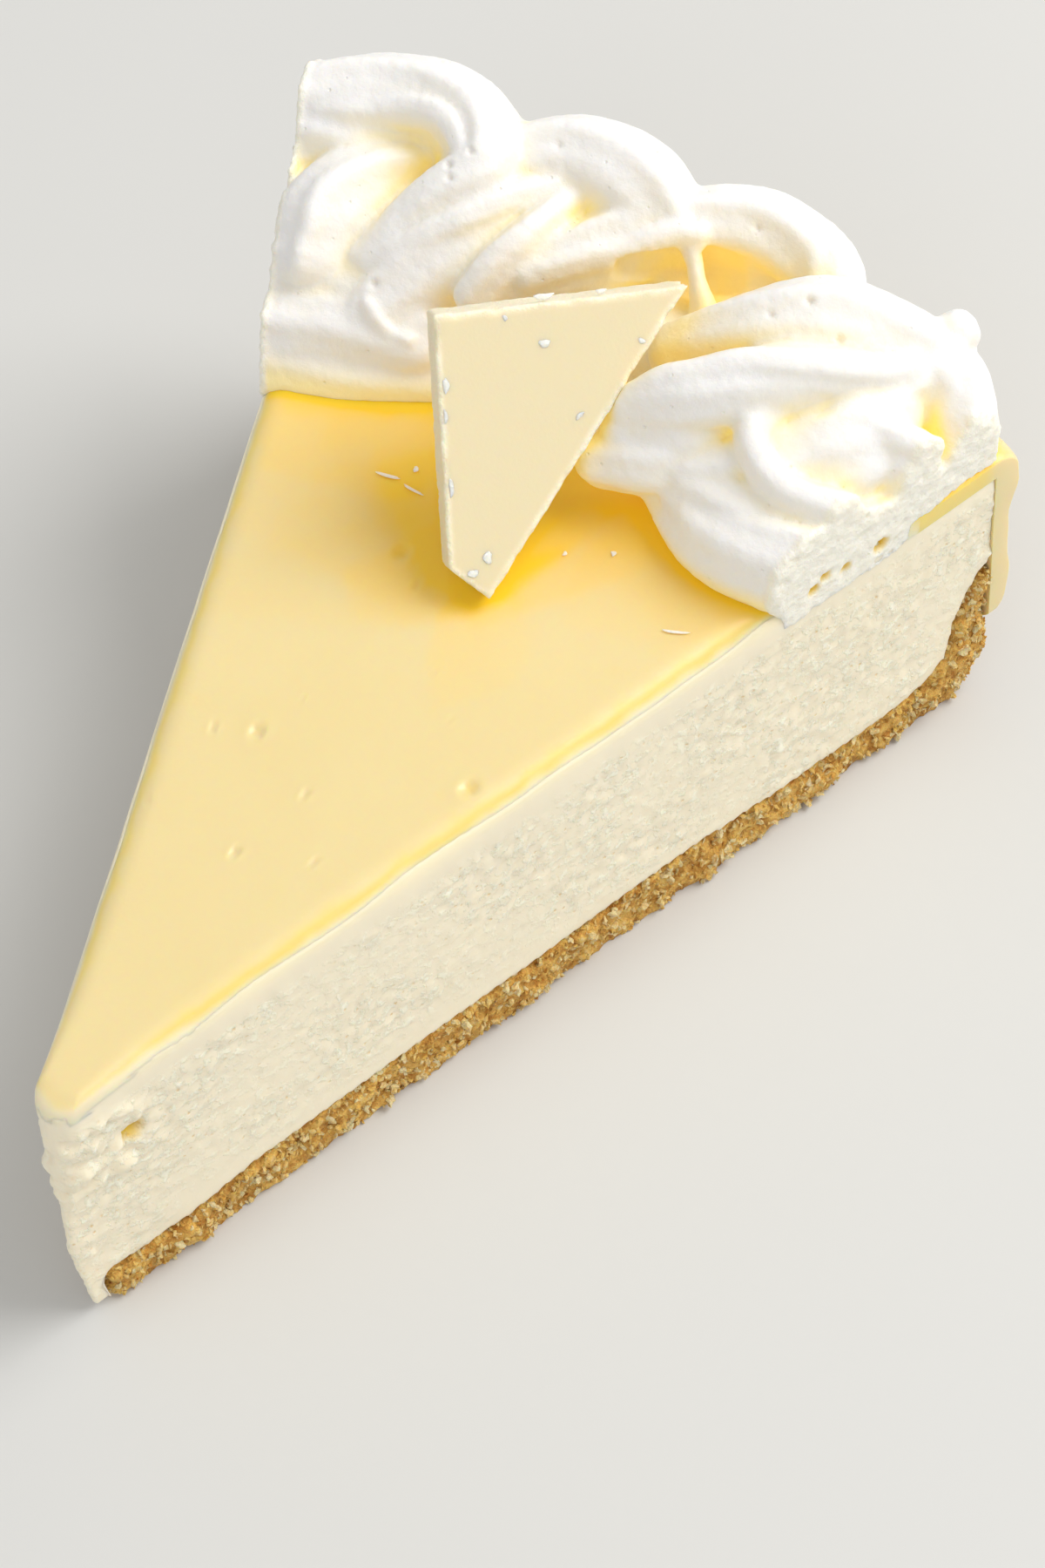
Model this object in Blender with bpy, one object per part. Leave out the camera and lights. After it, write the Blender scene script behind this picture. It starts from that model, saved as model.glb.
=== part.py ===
"""A slice of white chocolate cheesecake, cut from a round cake.

Layers from below: a crumb crust that turns up the outer side, the cheese filling, a white
chocolate ganache that runs over the rim in drips, a border of piped whipped cream, and a
broken piece of white chocolate that leans on the cream.

The slice is modelled with the cake's centre at the origin: +X runs from the point of the
slice to the middle of the rim, +Z is up, and the crust stands on Z = 0. The last function
moves the whole slice so that the middle of its bounding box is over the origin.
All sizes below are in millimetres and become metres in the meshes.
"""

import math

import bmesh
import bpy
from mathutils import Vector, noise

MM = 0.001

# The cake and the slice
CAKE_RADIUS = 113.5
HALF_ANGLE = math.radians(19.75)
ICING_TOP = 37.7
GAP = 0.3
NOSE_BLEND = 30.0

# Crust
CRUST_SWELL = 0.7
CRUST_START = 4.2
CRUMB_SIZE = 2.6
CRUMB_DEPTH = 1.9
WALL_TOP = 20.6
WALL_FOOT = 102.0

# Filling
FILLING_TOP = 34.7
NOSE_TOP = 2.35
NOSE_BOTTOM = 0.55
SMEAR_REACH = 3.6
SMEAR_FOOT = 0.6

# Ganache
ICING_THICK = 2.7
SHOULDER = 1.5
DRIP_THICK = 2.0
DRIP_HEM = 3.0
# each drip: degrees across the slice, half width in degrees, length below the icing's top
DRIPS = [(-18.6, 2.6, 28.0), (-11.5, 2.6, 11.0), (-4.5, 3.0, 19.0),
         (3.2, 2.6, 9.0), (10.0, 3.0, 23.0), (17.0, 2.8, 13.0)]
DRIP_ROUNDNESS = 2.6
DRIP_BEND = 0.6

# White chocolate piece: outline of its front face, along its top edge and up the face
SHARD_OUTLINE = [(0.0, 0.0), (23.9, 0.0), (2.8, -27.1), (-0.8, -23.7)]
SHARD_CORNER = Vector((81.3, 6.9, ICING_TOP + 21.9))
SHARD_ALONG = Vector((0.686, -0.715, -0.134)).normalized()
SHARD_FACING = Vector((-0.470, -0.575, 0.669)).normalized()
SHARD_THICK = 4.3
SHARD_EDGE = 0.35

# Whipped cream: every ridge of the piping is a strand through a few places, each given as
# radius from the cake's centre, degrees across the slice, height of the strand's middle
# above the icing, and half width.
CREAM_RIDGES = {
    "left_outer": [(109.0, 21.2, 12.5, 4.2), (110.8, 15.1, 14.5, 4.3), (109.0, 10.8, 15.5, 4.4),
                   (104.2, 8.6, 15.0, 4.2), (99.9, 10.9, 12.8, 3.4), (94.8, 14.2, 9.2, 1.7)],
    "left_inner": [(106.2, 12.6, 10.0, 3.4), (102.8, 15.2, 10.0, 5.0), (98.8, 17.0, 9.3, 5.4),
                   (95.4, 17.4, 7.8, 4.6)],
    "left_side": [(107.4, 20.9, 12.2, 2.8), (103.4, 21.0, 11.0, 3.1), (99.6, 21.0, 8.6, 3.0)],
    "left_ramp": [(107.2, 20.6, 11.0, 3.4), (106.4, 17.4, 11.6, 3.7), (106.4, 14.2, 11.2, 3.2)],
    "left_front": [(107.1, 4.6, 12.0, 2.8), (102.3, 6.8, 12.0, 3.6), (98.0, 9.2, 10.2, 4.2),
                   (92.6, 12.4, 5.4, 4.4), (90.2, 13.4, 2.6, 3.8)],
    "left_edge": [(109.4, 20.6, 7.0, 3.6), (103.6, 19.8, 6.4, 3.4), (99.6, 19.4, 4.6, 2.8)],
    "left_recess": [(93.6, 19.6, 4.4, 3.6), (93.6, 15.2, 5.4, 3.8), (92.4, 11.8, 6.0, 3.4)],
    "left_under": [(89.6, 20.4, 2.6, 3.8), (90.2, 14.8, 3.4, 4.2), (90.8, 10.4, 3.6, 4.0)],
    "left_skirt": [(87.2, 21.0, 0.0, 3.0), (87.0, 14.4, 0.2, 3.0), (89.0, 9.0, 0.2, 2.9)],
    "middle_outer": [(104.0, 9.8, 11.5, 4.2), (108.6, 5.6, 13.8, 4.8), (109.0, 1.4, 14.2, 4.8),
                     (107.4, -2.0, 11.0, 4.2)],
    "middle_thin": [(93.8, 6.9, 9.6, 2.2), (96.3, 6.0, 11.9, 2.3), (98.7, 5.1, 13.4, 2.0),
                    (102.4, 4.3, 14.3, 1.6), (104.6, 3.8, 14.4, 1.2)],
    "middle_crest": [(95.6, 6.3, 9.6, 2.2), (99.8, 3.2, 10.6, 3.2), (104.6, 0.6, 11.8, 3.6),
                     (109.4, -2.6, 12.8, 3.5), (112.2, -5.6, 12.6, 3.8), (112.0, -8.6, 11.0, 3.8),
                     (108.6, -10.2, 8.6, 3.6)],
    "right_outer": [(97.2, -5.6, 9.6, 3.2), (101.7, -9.3, 13.0, 4.3), (106.0, -12.0, 14.2, 4.5),
                    (109.7, -15.0, 12.0, 4.0)],
    "right_crest": [(88.6, -6.0, 11.2, 2.2), (92.2, -9.6, 13.8, 2.9), (99.2, -13.0, 14.6, 3.1),
                    (107.6, -16.4, 11.8, 2.1)],
    "right_face": [(87.4, -6.2, 8.6, 2.4), (90.4, -9.2, 10.0, 2.8), (93.6, -10.4, 10.4, 2.2)],
    "right_low": [(84.9, -5.2, 6.2, 2.4), (88.2, -8.7, 7.2, 3.1), (94.4, -10.0, 7.4, 2.6)],
    "right_curl": [(100.8, -12.8, 9.6, 2.2), (96.2, -12.2, 9.8, 2.4), (93.0, -13.2, 8.8, 2.4),
                   (92.8, -16.2, 7.4, 2.5), (95.6, -20.8, 5.6, 2.6)],
    "right_fill": [(88.6, -10.5, 6.5, 2.6), (90.8, -12.3, 7.6, 2.6), (93.8, -14.0, 8.8, 2.7),
                   (96.4, -14.8, 9.6, 2.6), (99.2, -15.0, 10.4, 2.4)],
    "right_heart": [(95.4, -15.4, 8.2, 3.8), (99.6, -16.4, 9.0, 4.4), (104.4, -16.0, 9.6, 4.2)],
    "right_spur": [(101.4, -15.2, 10.4, 2.4), (102.8, -17.4, 8.6, 2.9), (104.4, -20.4, 0.8, 3.0)],
    "right_side": [(108.6, -15.0, 10.6, 3.6), (111.4, -17.0, 8.8, 4.0), (109.6, -19.6, 1.8, 3.6)],
    "right_foot": [(88.2, -9.4, 2.8, 3.0), (86.8, -13.6, 3.2, 3.9), (88.8, -17.6, 3.8, 4.4),
                   (93.0, -21.6, 4.4, 4.4)],
    "right_foot_back": [(88.0, -11.0, 5.0, 3.0), (89.0, -14.0, 5.4, 3.4), (91.6, -17.5, 5.4, 3.4)],
    "right_bead": [(112.4, -15.6, 11.0, 2.3), (114.2, -16.1, 12.4, 1.9)],
}
# The bed of cream that fills the inside of the piping, as two wide strands
CREAM_BED = {
    "bed": [(98.5, 14.0, -1.0, 8.0), (100.0, 8.0, -1.5, 10.5), (100.0, 0.0, -2.0, 10.5),
            (98.5, -10.0, -2.0, 10.0), (95.5, -21.5, -2.5, 9.0)],
    "bed_rim": [(107.5, 20.6, -0.5, 5.5), (108.5, 8.0, 3.5, 6.0), (108.5, -4.0, 3.0, 6.0),
                (107.0, -13.0, 3.0, 6.0), (106.5, -19.0, -2.0, 5.0)],
}
# A deep fold left open between the middle and the right loops
CREAM_FOLD = [(101.4, -0.6, 12.0, 1.5), (104.6, -2.6, 11.2, 2.4), (106.6, -4.2, 10.8, 2.2),
              (107.2, -5.6, 11.2, 1.5)]
RIDGE_DROP = 1.7
RIDGE_CREST = 0.2
RIDGE_SIDES = 10
RIDGE_SPACING = 2.3


def smooth_step(value):
    value = min(max(value, 0.0), 1.0)
    return value * value * (3.0 - 2.0 * value)


def between(value, stations):
    """Height read from a list of (place, height) stations, straight between them."""
    if value <= stations[0][0]:
        return stations[0][1]
    for (x0, y0), (x1, y1) in zip(stations, stations[1:]):
        if value <= x1:
            return y0 + (y1 - y0) * (value - x0) / (x1 - x0)
    return stations[-1][1]


def uneven(x, y, z, size, seed=0.0):
    """Smooth random value of about -1 to 1 that changes over the given size."""
    return noise.noise(Vector((x / size + seed, y / size - seed, z / size + 3.1 * seed)))


def make_material(name, colour, roughness):
    material = bpy.data.materials.new(name)
    material.use_nodes = True
    shader = material.node_tree.nodes["Principled BSDF"]
    shader.inputs["Base Color"].default_value = (*colour, 1.0)
    shader.inputs["Roughness"].default_value = roughness
    shader.inputs["Metallic"].default_value = 0.0
    material.diffuse_color = (*colour, 1.0)
    return material


def make_object(name, vertices, faces, material):
    """Object from vertices in millimetres."""
    mesh = bpy.data.meshes.new(name)
    mesh.from_pydata([tuple(c * MM for c in v) for v in vertices], [], faces)
    mesh.materials.append(material)
    mesh.update()
    piece = bpy.data.objects.new(name, mesh)
    bpy.context.scene.collection.objects.link(piece)
    return piece


def plan_point(reach, across, nose):
    """Place on the slice in plan: reach from the point, across from 0 (right) to 1 (left).

    The point of the slice is rounded with the radius nose; farther out the lines of
    equal reach become arcs of the cake.
    """
    start = nose / math.tan(HALF_ANGLE)
    angle = (2.0 * across - 1.0) * HALF_ANGLE
    swing = (2.0 * across - 1.0) * (math.pi / 2.0 - HALF_ANGLE)
    x_shift = nose / math.sin(HALF_ANGLE) - nose * math.cos(swing) - start * math.cos(angle)
    y_shift = nose * math.sin(swing) - start * math.sin(angle)
    keep = 1.0 - smooth_step((reach - start) / NOSE_BLEND)
    x = reach * math.cos(angle) + keep * x_shift
    y = reach * math.sin(angle) + keep * y_shift
    return x, y


def block(name, counts, place, material):
    """Closed body: the skin of a lattice of counts[0] x counts[1] x counts[2] points."""
    nu, nv, nw = counts
    index = {}
    vertices = []
    for i in range(nu):
        for j in range(nv):
            for k in range(nw):
                if i in (0, nu - 1) or j in (0, nv - 1) or k in (0, nw - 1):
                    index[i, j, k] = len(vertices)
                    vertices.append(place(i, j, k))
    faces = []

    def quad(a, b, c, d, flip):
        corners = [index[a], index[b], index[c], index[d]]
        faces.append(corners[::-1] if flip else corners)

    for i in range(nu - 1):
        for j in range(nv - 1):
            for k, flip in ((0, True), (nw - 1, False)):
                quad((i, j, k), (i + 1, j, k), (i + 1, j + 1, k), (i, j + 1, k), flip)
    for i in range(nu - 1):
        for k in range(nw - 1):
            for j, flip in ((0, False), (nv - 1, True)):
                quad((i, j, k), (i + 1, j, k), (i + 1, j, k + 1), (i, j, k + 1), flip)
    for j in range(nv - 1):
        for k in range(nw - 1):
            for i, flip in ((0, True), (nu - 1, False)):
                quad((i, j, k), (i, j + 1, k), (i, j + 1, k + 1), (i, j, k + 1), flip)
    return make_object(name, vertices, faces, material)


def evenly(start, end, count):
    return [start + (end - start) * i / (count - 1) for i in range(count)]


ACROSS = evenly(0.0, 1.0, 13)
FLOOR_STEPS = 19
# The crust has twice as many stations along its floor as the filling that lies on it
CRUST_RUN = evenly(CRUST_START, WALL_FOOT, 2 * FLOOR_STEPS + 1)
FLOOR_RUN = CRUST_RUN[::2]


def crust_top(reach):
    """Height of the crust's floor, a little uneven, thinner near the point of the slice."""
    swell = CRUST_SWELL * (uneven(reach, 0.0, 0.0, 8.0, 2.0) + 0.5 * uneven(reach, 0.0, 0.0, 20.0, 5.0))
    base = between(reach, [(0.0, 4.2), (14.0, 5.2), (24.0, 6.3), (70.0, 6.8), (90.0, 5.4), (103.0, 5.6)])
    fade = 1.0 - smooth_step((reach - WALL_FOOT + 6.0) / 6.0)
    return base + swell * fade


FLOOR_HEIGHTS = [(reach, crust_top(reach)) for reach in FLOOR_RUN]
# The wall of the crust in section: radius and height of its inner face and its outer face
WALL_INNER = [(105.4, 6.3), (107.9, 8.7), (109.2, 13.0), (110.3, 16.6), (112.1, 19.6)]
WALL_OUTER = [(109.0, 0.0), (112.4, 1.4), (113.5, 6.0), (113.5, 13.5), (113.3, 20.6)]


def build_crust(material):
    floor_count = len(CRUST_RUN)
    layers = 4

    def place(i, j, k):
        across = ACROSS[j]
        rise = k / (layers - 1)
        if i < floor_count:
            reach_low, low = CRUST_RUN[i], 0.0
            reach_high, high = CRUST_RUN[i], between(CRUST_RUN[i], FLOOR_HEIGHTS)
        else:
            reach_low, low = WALL_OUTER[i - floor_count]
            reach_high, high = WALL_INNER[i - floor_count]
        reach = reach_low + (reach_high - reach_low) * rise
        z = low + (high - low) * rise
        x, y = plan_point(reach, across, NOSE_BOTTOM)
        # crumbs stand out of the two cut faces, and less so out of the baked outer side
        crumb = CRUMB_DEPTH * uneven(x, y, z, CRUMB_SIZE, 7.0)
        if j in (0, len(ACROSS) - 1):
            side = -1.0 if j == 0 else 1.0
            out = max(crumb, -0.8) * smooth_step((reach - CRUST_START) / 6.0)
            if k == 0:
                out = out * 0.4
            x -= side * out * math.sin(HALF_ANGLE)
            y += side * out * math.cos(HALF_ANGLE)
        if k == 0 and i > floor_count:
            inward = 0.5 - 0.5 * crumb
            x -= inward * math.cos((2.0 * across - 1.0) * HALF_ANGLE)
            y -= inward * math.sin((2.0 * across - 1.0) * HALF_ANGLE)
        return x, y, z

    return block("crust", (floor_count + len(WALL_INNER), len(ACROSS), layers), place, material)


def filling_rim(z):
    """Radius of the filling's outer side: inside the crust's wall, then flush above it."""
    stations = [(height + GAP * 0.4, radius - GAP) for radius, height in WALL_INNER]
    stations += [(WALL_TOP + 0.6, 112.9), (WALL_TOP + 1.6, CAKE_RADIUS), (FILLING_TOP, CAKE_RADIUS)]
    return between(z, stations)


def filling_nose(z):
    return between(z, [(0.0, NOSE_BOTTOM), (12.0, NOSE_BOTTOM), (22.0, 1.3), (FILLING_TOP, NOSE_TOP)])


FILLING_START = NOSE_BOTTOM / math.tan(HALF_ANGLE)
FILLING_RUN = [FILLING_START, 2.6, SMEAR_REACH, SMEAR_REACH + 0.15] + FLOOR_RUN[1:]
NOSE_REACH = 20.0
# Heights of the filling's rows at the rim, level with the steps of the crust's wall
FILLING_ROWS = [z + 0.4 * GAP for _, z in WALL_INNER] + [WALL_TOP + 0.7, WALL_TOP + 1.7, 28.5, FILLING_TOP]


def build_filling(material):
    foot = WALL_INNER[0][1] + GAP

    def place(i, j, k):
        across = ACROSS[j]
        at_rim = i == len(FILLING_RUN)
        run = WALL_FOOT if at_rim else FILLING_RUN[i]
        if run <= SMEAR_REACH:
            low = SMEAR_FOOT
        else:
            low = foot if at_rim else between(run, FLOOR_HEIGHTS) + GAP
        level = foot if k == 0 else FILLING_ROWS[k]
        z = low + (level - foot) * (FILLING_TOP - low) / (FILLING_TOP - foot)
        nose = filling_nose(z)
        start = nose / math.tan(HALF_ANGLE)
        if at_rim:
            reach = filling_rim(z)
        elif run < NOSE_REACH:
            reach = start + (run - FILLING_START) * (NOSE_REACH - start) / (NOSE_REACH - FILLING_START)
        else:
            reach = run
        x, y = plan_point(reach, across, nose)
        if j in (0, len(ACROSS) - 1) and 0 < k < len(FILLING_ROWS) - 1:
            side = -1.0 if j == 0 else 1.0
            out = 0.25 * uneven(x, y, z, 7.0, 11.0)
            x -= side * out * math.sin(HALF_ANGLE)
            y += side * out * math.cos(HALF_ANGLE)
        return x, y, z

    return block("filling", (len(FILLING_RUN) + 1, len(ACROSS), len(FILLING_ROWS)), place, material)


def drip_length(degrees):
    """How far the ganache hangs below its top at this place on the rim."""
    length = DRIP_HEM + 0.8 * uneven(degrees, 0.0, 0.0, 3.0, 4.0)
    for centre, half_width, reach in DRIPS:
        part = 1.0 - (abs(degrees - centre) / half_width) ** DRIP_ROUNDNESS
        if part > 0.0:
            length = max(length, DRIP_HEM + (reach - DRIP_HEM) * math.sqrt(part))
    return length


INSETS = [0.0, 0.22, 0.75, SHOULDER]


def shoulder_drop(distance):
    """How much lower the icing is near its edge, a quarter round of radius SHOULDER."""
    if distance >= SHOULDER:
        return 0.0
    return SHOULDER - math.sqrt(SHOULDER ** 2 - (SHOULDER - distance) ** 2)


def build_ganache(material):
    inner_rim = CAKE_RADIUS + GAP
    top_run = evenly(12.0, 108.0, 7)
    start = NOSE_TOP / math.tan(HALF_ANGLE)
    bend = [0.0, 0.33, 0.67, 1.0]
    fall = [0.12, 0.34, 0.58, 0.80, 0.94, 1.0]
    mid_across = evenly(0.0, 1.0, 37)[1:-1]
    runs = len(INSETS) + 1 + len(top_run) + len(bend) + len(fall)
    columns = 2 * len(INSETS) + len(mid_across)

    def column(j, reach):
        """Across value of column j, and its distance from the nearer cut face."""
        edge = len(INSETS)
        if j < edge or j >= columns - edge:
            inset = INSETS[j] if j < edge else INSETS[columns - 1 - j]
            half = max(reach, start + 1.0) * HALF_ANGLE
            shrink = min(1.0, 0.55 * half / SHOULDER)
            share = 0.5 * inset * shrink / half
            return (share if j < edge else 1.0 - share), inset
        half = max(reach, start + 1.0) * HALF_ANGLE
        first = 0.5 * SHOULDER * min(1.0, 0.55 * half / SHOULDER) / half
        return first + (1.0 - 2.0 * first) * mid_across[j - edge], SHOULDER

    def place(i, j, k):
        nose_count = len(INSETS) + 1
        if i < nose_count:
            inset = (INSETS + [2.6])[i]
            reach = start + inset
            across, side_inset = column(j, reach)
            drop = shoulder_drop(min(inset, side_inset))
            x, y = plan_point(reach, across, NOSE_TOP)
            return x, y, (FILLING_TOP + GAP if k == 0 else ICING_TOP - drop)
        i -= nose_count
        if i < len(top_run):
            across, side_inset = column(j, top_run[i])
            x, y = plan_point(top_run[i], across, NOSE_TOP)
            return x, y, (FILLING_TOP + GAP if k == 0 else ICING_TOP - shoulder_drop(side_inset))
        i -= len(top_run)
        across, side_inset = column(j, CAKE_RADIUS)
        angle = (2.0 * across - 1.0) * HALF_ANGLE
        edge_drop = shoulder_drop(side_inset)
        if i < len(bend):
            turn = bend[i] * math.pi / 2.0
            thick = ICING_THICK - edge_drop * 0.8
            radius = inner_rim - DRIP_BEND + DRIP_BEND * math.sin(turn)
            z = FILLING_TOP + GAP - DRIP_BEND + DRIP_BEND * math.cos(turn)
            if k == 1:
                radius += thick * math.sin(turn)
                z += thick * math.cos(turn)
                z = min(z, ICING_TOP - edge_drop)
            return radius * math.cos(angle), radius * math.sin(angle), z
        share = fall[i - len(bend)]
        length = drip_length(math.degrees(angle))
        z_start = FILLING_TOP + GAP - DRIP_BEND
        z_end = min(ICING_TOP - length, z_start - 1.2)
        z = z_start + (z_end - z_start) * share
        radius = inner_rim
        if k == 1:
            thick = ICING_THICK + (DRIP_THICK - ICING_THICK) * min(1.0, share * 2.0)
            tail = max(0.0, 1.0 - max(0.0, DRIP_THICK - (z - z_end)) / DRIP_THICK)
            round_off = math.sqrt(max(0.0, 1.0 - (1.0 - tail) ** 2))
            radius += max(0.5, (thick - 0.8 * edge_drop) * (0.25 + 0.75 * round_off))
        return radius * math.cos(angle), radius * math.sin(angle), z

    return block("ganache", (runs, columns, 2), place, material)


def shard_corners(grow):
    """Front and back outline of the white chocolate piece, grown on all sides."""
    up = SHARD_FACING.cross(SHARD_ALONG)
    middle = Vector((sum(a for a, _ in SHARD_OUTLINE) / 4.0, sum(b for _, b in SHARD_OUTLINE) / 4.0))
    rings = []
    for depth in (grow, -SHARD_THICK - grow):
        ring = []
        for along, rise in SHARD_OUTLINE:
            away = (Vector((along, rise)) - middle).normalized() * grow * 1.8
            point = SHARD_CORNER + SHARD_ALONG * (along + away.x) + up * (rise + away.y)
            ring.append(point + SHARD_FACING * depth)
        rings.append(ring)
    return rings


def prism(name, rings, material):
    count = len(rings[0])
    faces = [list(range(count)), list(range(2 * count - 1, count - 1, -1))]
    for i in range(count):
        j = (i + 1) % count
        faces.append([i, i + count, j + count, j])
    piece = make_object(name, rings[0] + rings[1], faces, material)
    scratch = bmesh.new()
    scratch.from_mesh(piece.data)
    bmesh.ops.recalc_face_normals(scratch, faces=scratch.faces)
    scratch.to_mesh(piece.data)
    scratch.free()
    return piece


def build_shard(material):
    piece = prism("chocolate_shard", shard_corners(0.0), material)
    bevel = piece.modifiers.new("worn_edges", "BEVEL")
    bevel.width = SHARD_EDGE * MM
    bevel.segments = 2
    bevel.limit_method = "NONE"
    return piece


def strand_places(places):
    """Evenly spaced places on the smooth curve through the given ones."""
    points = []
    for radius, degrees, height, half in places:
        angle = math.radians(degrees)
        points.append(Vector((radius * math.cos(angle), radius * math.sin(angle), ICING_TOP + height, half)))
    ends = [points[0] * 2.0 - points[1]] + points + [points[-1] * 2.0 - points[-2]]
    path = []
    for a, b, c, d in zip(ends, ends[1:], ends[2:], ends[3:]):
        steps = max(2, round((c - b).length / RIDGE_SPACING))
        for step in range(steps):
            t = step / steps
            path.append(0.5 * (2.0 * b + (c - a) * t + (2.0 * a - 5.0 * b + 4.0 * c - d) * t * t
                               + (3.0 * b - a - 3.0 * c + d) * t * t * t))
    path.append(points[-1])
    return path


def build_strand(name, places, material):
    """Strand with round ends, whose lower half reaches down into the cream below it."""
    path = strand_places(places)
    rings = []
    for i, place in enumerate(path):
        before = path[max(i - 1, 0)]
        after = path[min(i + 1, len(path) - 1)]
        along = (after - before).xyz.normalized()
        side = along.cross(Vector((0.0, 0.0, 1.0))).normalized()
        up = side.cross(along)
        rings.append((place.xyz, along, side, up, place.w))
    first, last = rings[0], rings[-1]
    capped = [(first[0] - first[1] * first[4] * 0.7, *first[1:4], first[4] * 0.7)] + rings
    capped.append((last[0] + last[1] * last[4] * 0.7, *last[1:4], last[4] * 0.7))
    vertices = []
    for middle, _, side, up, half in capped:
        for s in range(RIDGE_SIDES):
            turn = 2.0 * math.pi * (s + 0.5) / RIDGE_SIDES
            lift = math.sin(turn)
            wide = math.cos(turn) * (1.0 - RIDGE_CREST * max(lift, 0.0))
            if lift < 0.0:
                lift *= RIDGE_DROP
            vertices.append(middle + side * half * wide + up * half * lift)
    vertices.append(first[0] - first[1] * first[4])
    vertices.append(last[0] + last[1] * last[4])
    faces = []
    for i in range(len(capped) - 1):
        for s in range(RIDGE_SIDES):
            t = (s + 1) % RIDGE_SIDES
            low, high = i * RIDGE_SIDES, (i + 1) * RIDGE_SIDES
            faces.append([low + s, high + s, high + t, low + t])
    end = (len(capped) - 1) * RIDGE_SIDES
    for s in range(RIDGE_SIDES):
        t = (s + 1) % RIDGE_SIDES
        faces.append([len(vertices) - 2, s, t])
        faces.append([len(vertices) - 1, end + t, end + s])
    piece = make_object(name, vertices, faces, material)
    scratch = bmesh.new()
    scratch.from_mesh(piece.data)
    bmesh.ops.recalc_face_normals(scratch, faces=scratch.faces)
    scratch.to_mesh(piece.data)
    scratch.free()
    return piece


def arc_body(name, section, reach_angle, steps, material):
    """Closed body: a section of (radius, height) points carried round the cake's centre."""
    count = len(section)
    vertices = []
    for i in range(steps + 1):
        angle = -reach_angle + 2.0 * reach_angle * i / steps
        for radius, z in section:
            vertices.append((radius * math.cos(angle), radius * math.sin(angle), z))
    faces = [list(range(count)), list(range((steps + 1) * count - 1, steps * count - 1, -1))]
    for i in range(steps):
        for s in range(count):
            t = (s + 1) % count
            faces.append([i * count + s, (i + 1) * count + s, (i + 1) * count + t, i * count + t])
    piece = make_object(name, vertices, faces, material)
    scratch = bmesh.new()
    scratch.from_mesh(piece.data)
    bmesh.ops.recalc_face_normals(scratch, faces=scratch.faces)
    scratch.to_mesh(piece.data)
    scratch.free()
    return piece


def apply_boolean(piece, operation, cutter=None, collection=None, solver="EXACT"):
    """Boolean that is applied at once, so that its operands can go."""
    step = piece.modifiers.new("join", "BOOLEAN")
    step.operation = operation
    step.solver = solver
    if collection is None:
        step.object = cutter
    else:
        step.operand_type = "COLLECTION"
        step.collection = collection
    graph = bpy.context.evaluated_depsgraph_get()
    mesh = bpy.data.meshes.new_from_object(piece.evaluated_get(graph))
    piece.modifiers.clear()
    piece.data = mesh


def clean(piece, distance):
    """Joins corners that almost coincide and splits the faces into triangles."""
    scratch = bmesh.new()
    scratch.from_mesh(piece.data)
    bmesh.ops.triangulate(scratch, faces=scratch.faces)
    bmesh.ops.remove_doubles(scratch, verts=scratch.verts, dist=distance * MM)
    bmesh.ops.dissolve_degenerate(scratch, edges=scratch.edges, dist=distance * MM)
    bmesh.ops.triangulate(scratch, faces=scratch.faces)
    scratch.to_mesh(piece.data)
    scratch.free()


def keep_outer_skin(piece):
    """Fills what the union sealed and drops loose scraps: only the largest skin stays."""
    scratch = bmesh.new()
    scratch.from_mesh(piece.data)
    waiting = set(scratch.faces)
    skins = []
    while waiting:
        skin = {waiting.pop()}
        edge_of_skin = list(skin)
        while edge_of_skin:
            face = edge_of_skin.pop()
            for edge in face.edges:
                for other in edge.link_faces:
                    if other in waiting:
                        waiting.discard(other)
                        skin.add(other)
                        edge_of_skin.append(other)
        skins.append(skin)
    largest = max(skins, key=lambda skin: sum(face.calc_area() for face in skin))
    for skin in skins:
        if skin is not largest:
            bmesh.ops.delete(scratch, geom=list(skin), context="FACES")
    scratch.to_mesh(piece.data)
    scratch.free()


def build_cream(material):
    """Piped border: strands and their bed joined in one body, cut flush with the slice."""
    cream = build_strand("whipped_cream", CREAM_BED["bed"], material)
    strands = bpy.data.collections.new("strands")
    bpy.context.scene.collection.children.link(strands)
    joined = {"bed_rim": CREAM_BED["bed_rim"], **CREAM_RIDGES}
    for name, places in joined.items():
        strand = build_strand(name, places, material)
        bpy.context.scene.collection.objects.unlink(strand)
        strands.objects.link(strand)
    apply_boolean(cream, "UNION", collection=strands, solver="MANIFOLD")
    for strand in list(strands.objects):
        bpy.data.objects.remove(strand)
    bpy.data.collections.remove(strands)
    low, high = ICING_TOP + GAP, ICING_TOP + 40.0
    section = [(60.0, low), (130.0, low), (130.0, high), (60.0, high)]
    wedge = arc_body("wedge", section, HALF_ANGLE, 1, material)
    room = prism("room", shard_corners(GAP), material)
    fold = build_strand("fold", CREAM_FOLD, material)
    for cutter, operation in ((wedge, "INTERSECT"), (room, "DIFFERENCE"), (fold, "DIFFERENCE")):
        apply_boolean(cream, operation, cutter=cutter, solver="MANIFOLD")
        bpy.data.objects.remove(cutter)
    keep_outer_skin(cream)
    return cream


def make_pocket(ganache, material):
    """The piece of chocolate stands a little way into the soft icing."""
    room = prism("room", shard_corners(GAP), material)
    apply_boolean(ganache, "DIFFERENCE", cutter=room)
    bpy.data.objects.remove(room)
    clean(ganache, 0.02)


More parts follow.
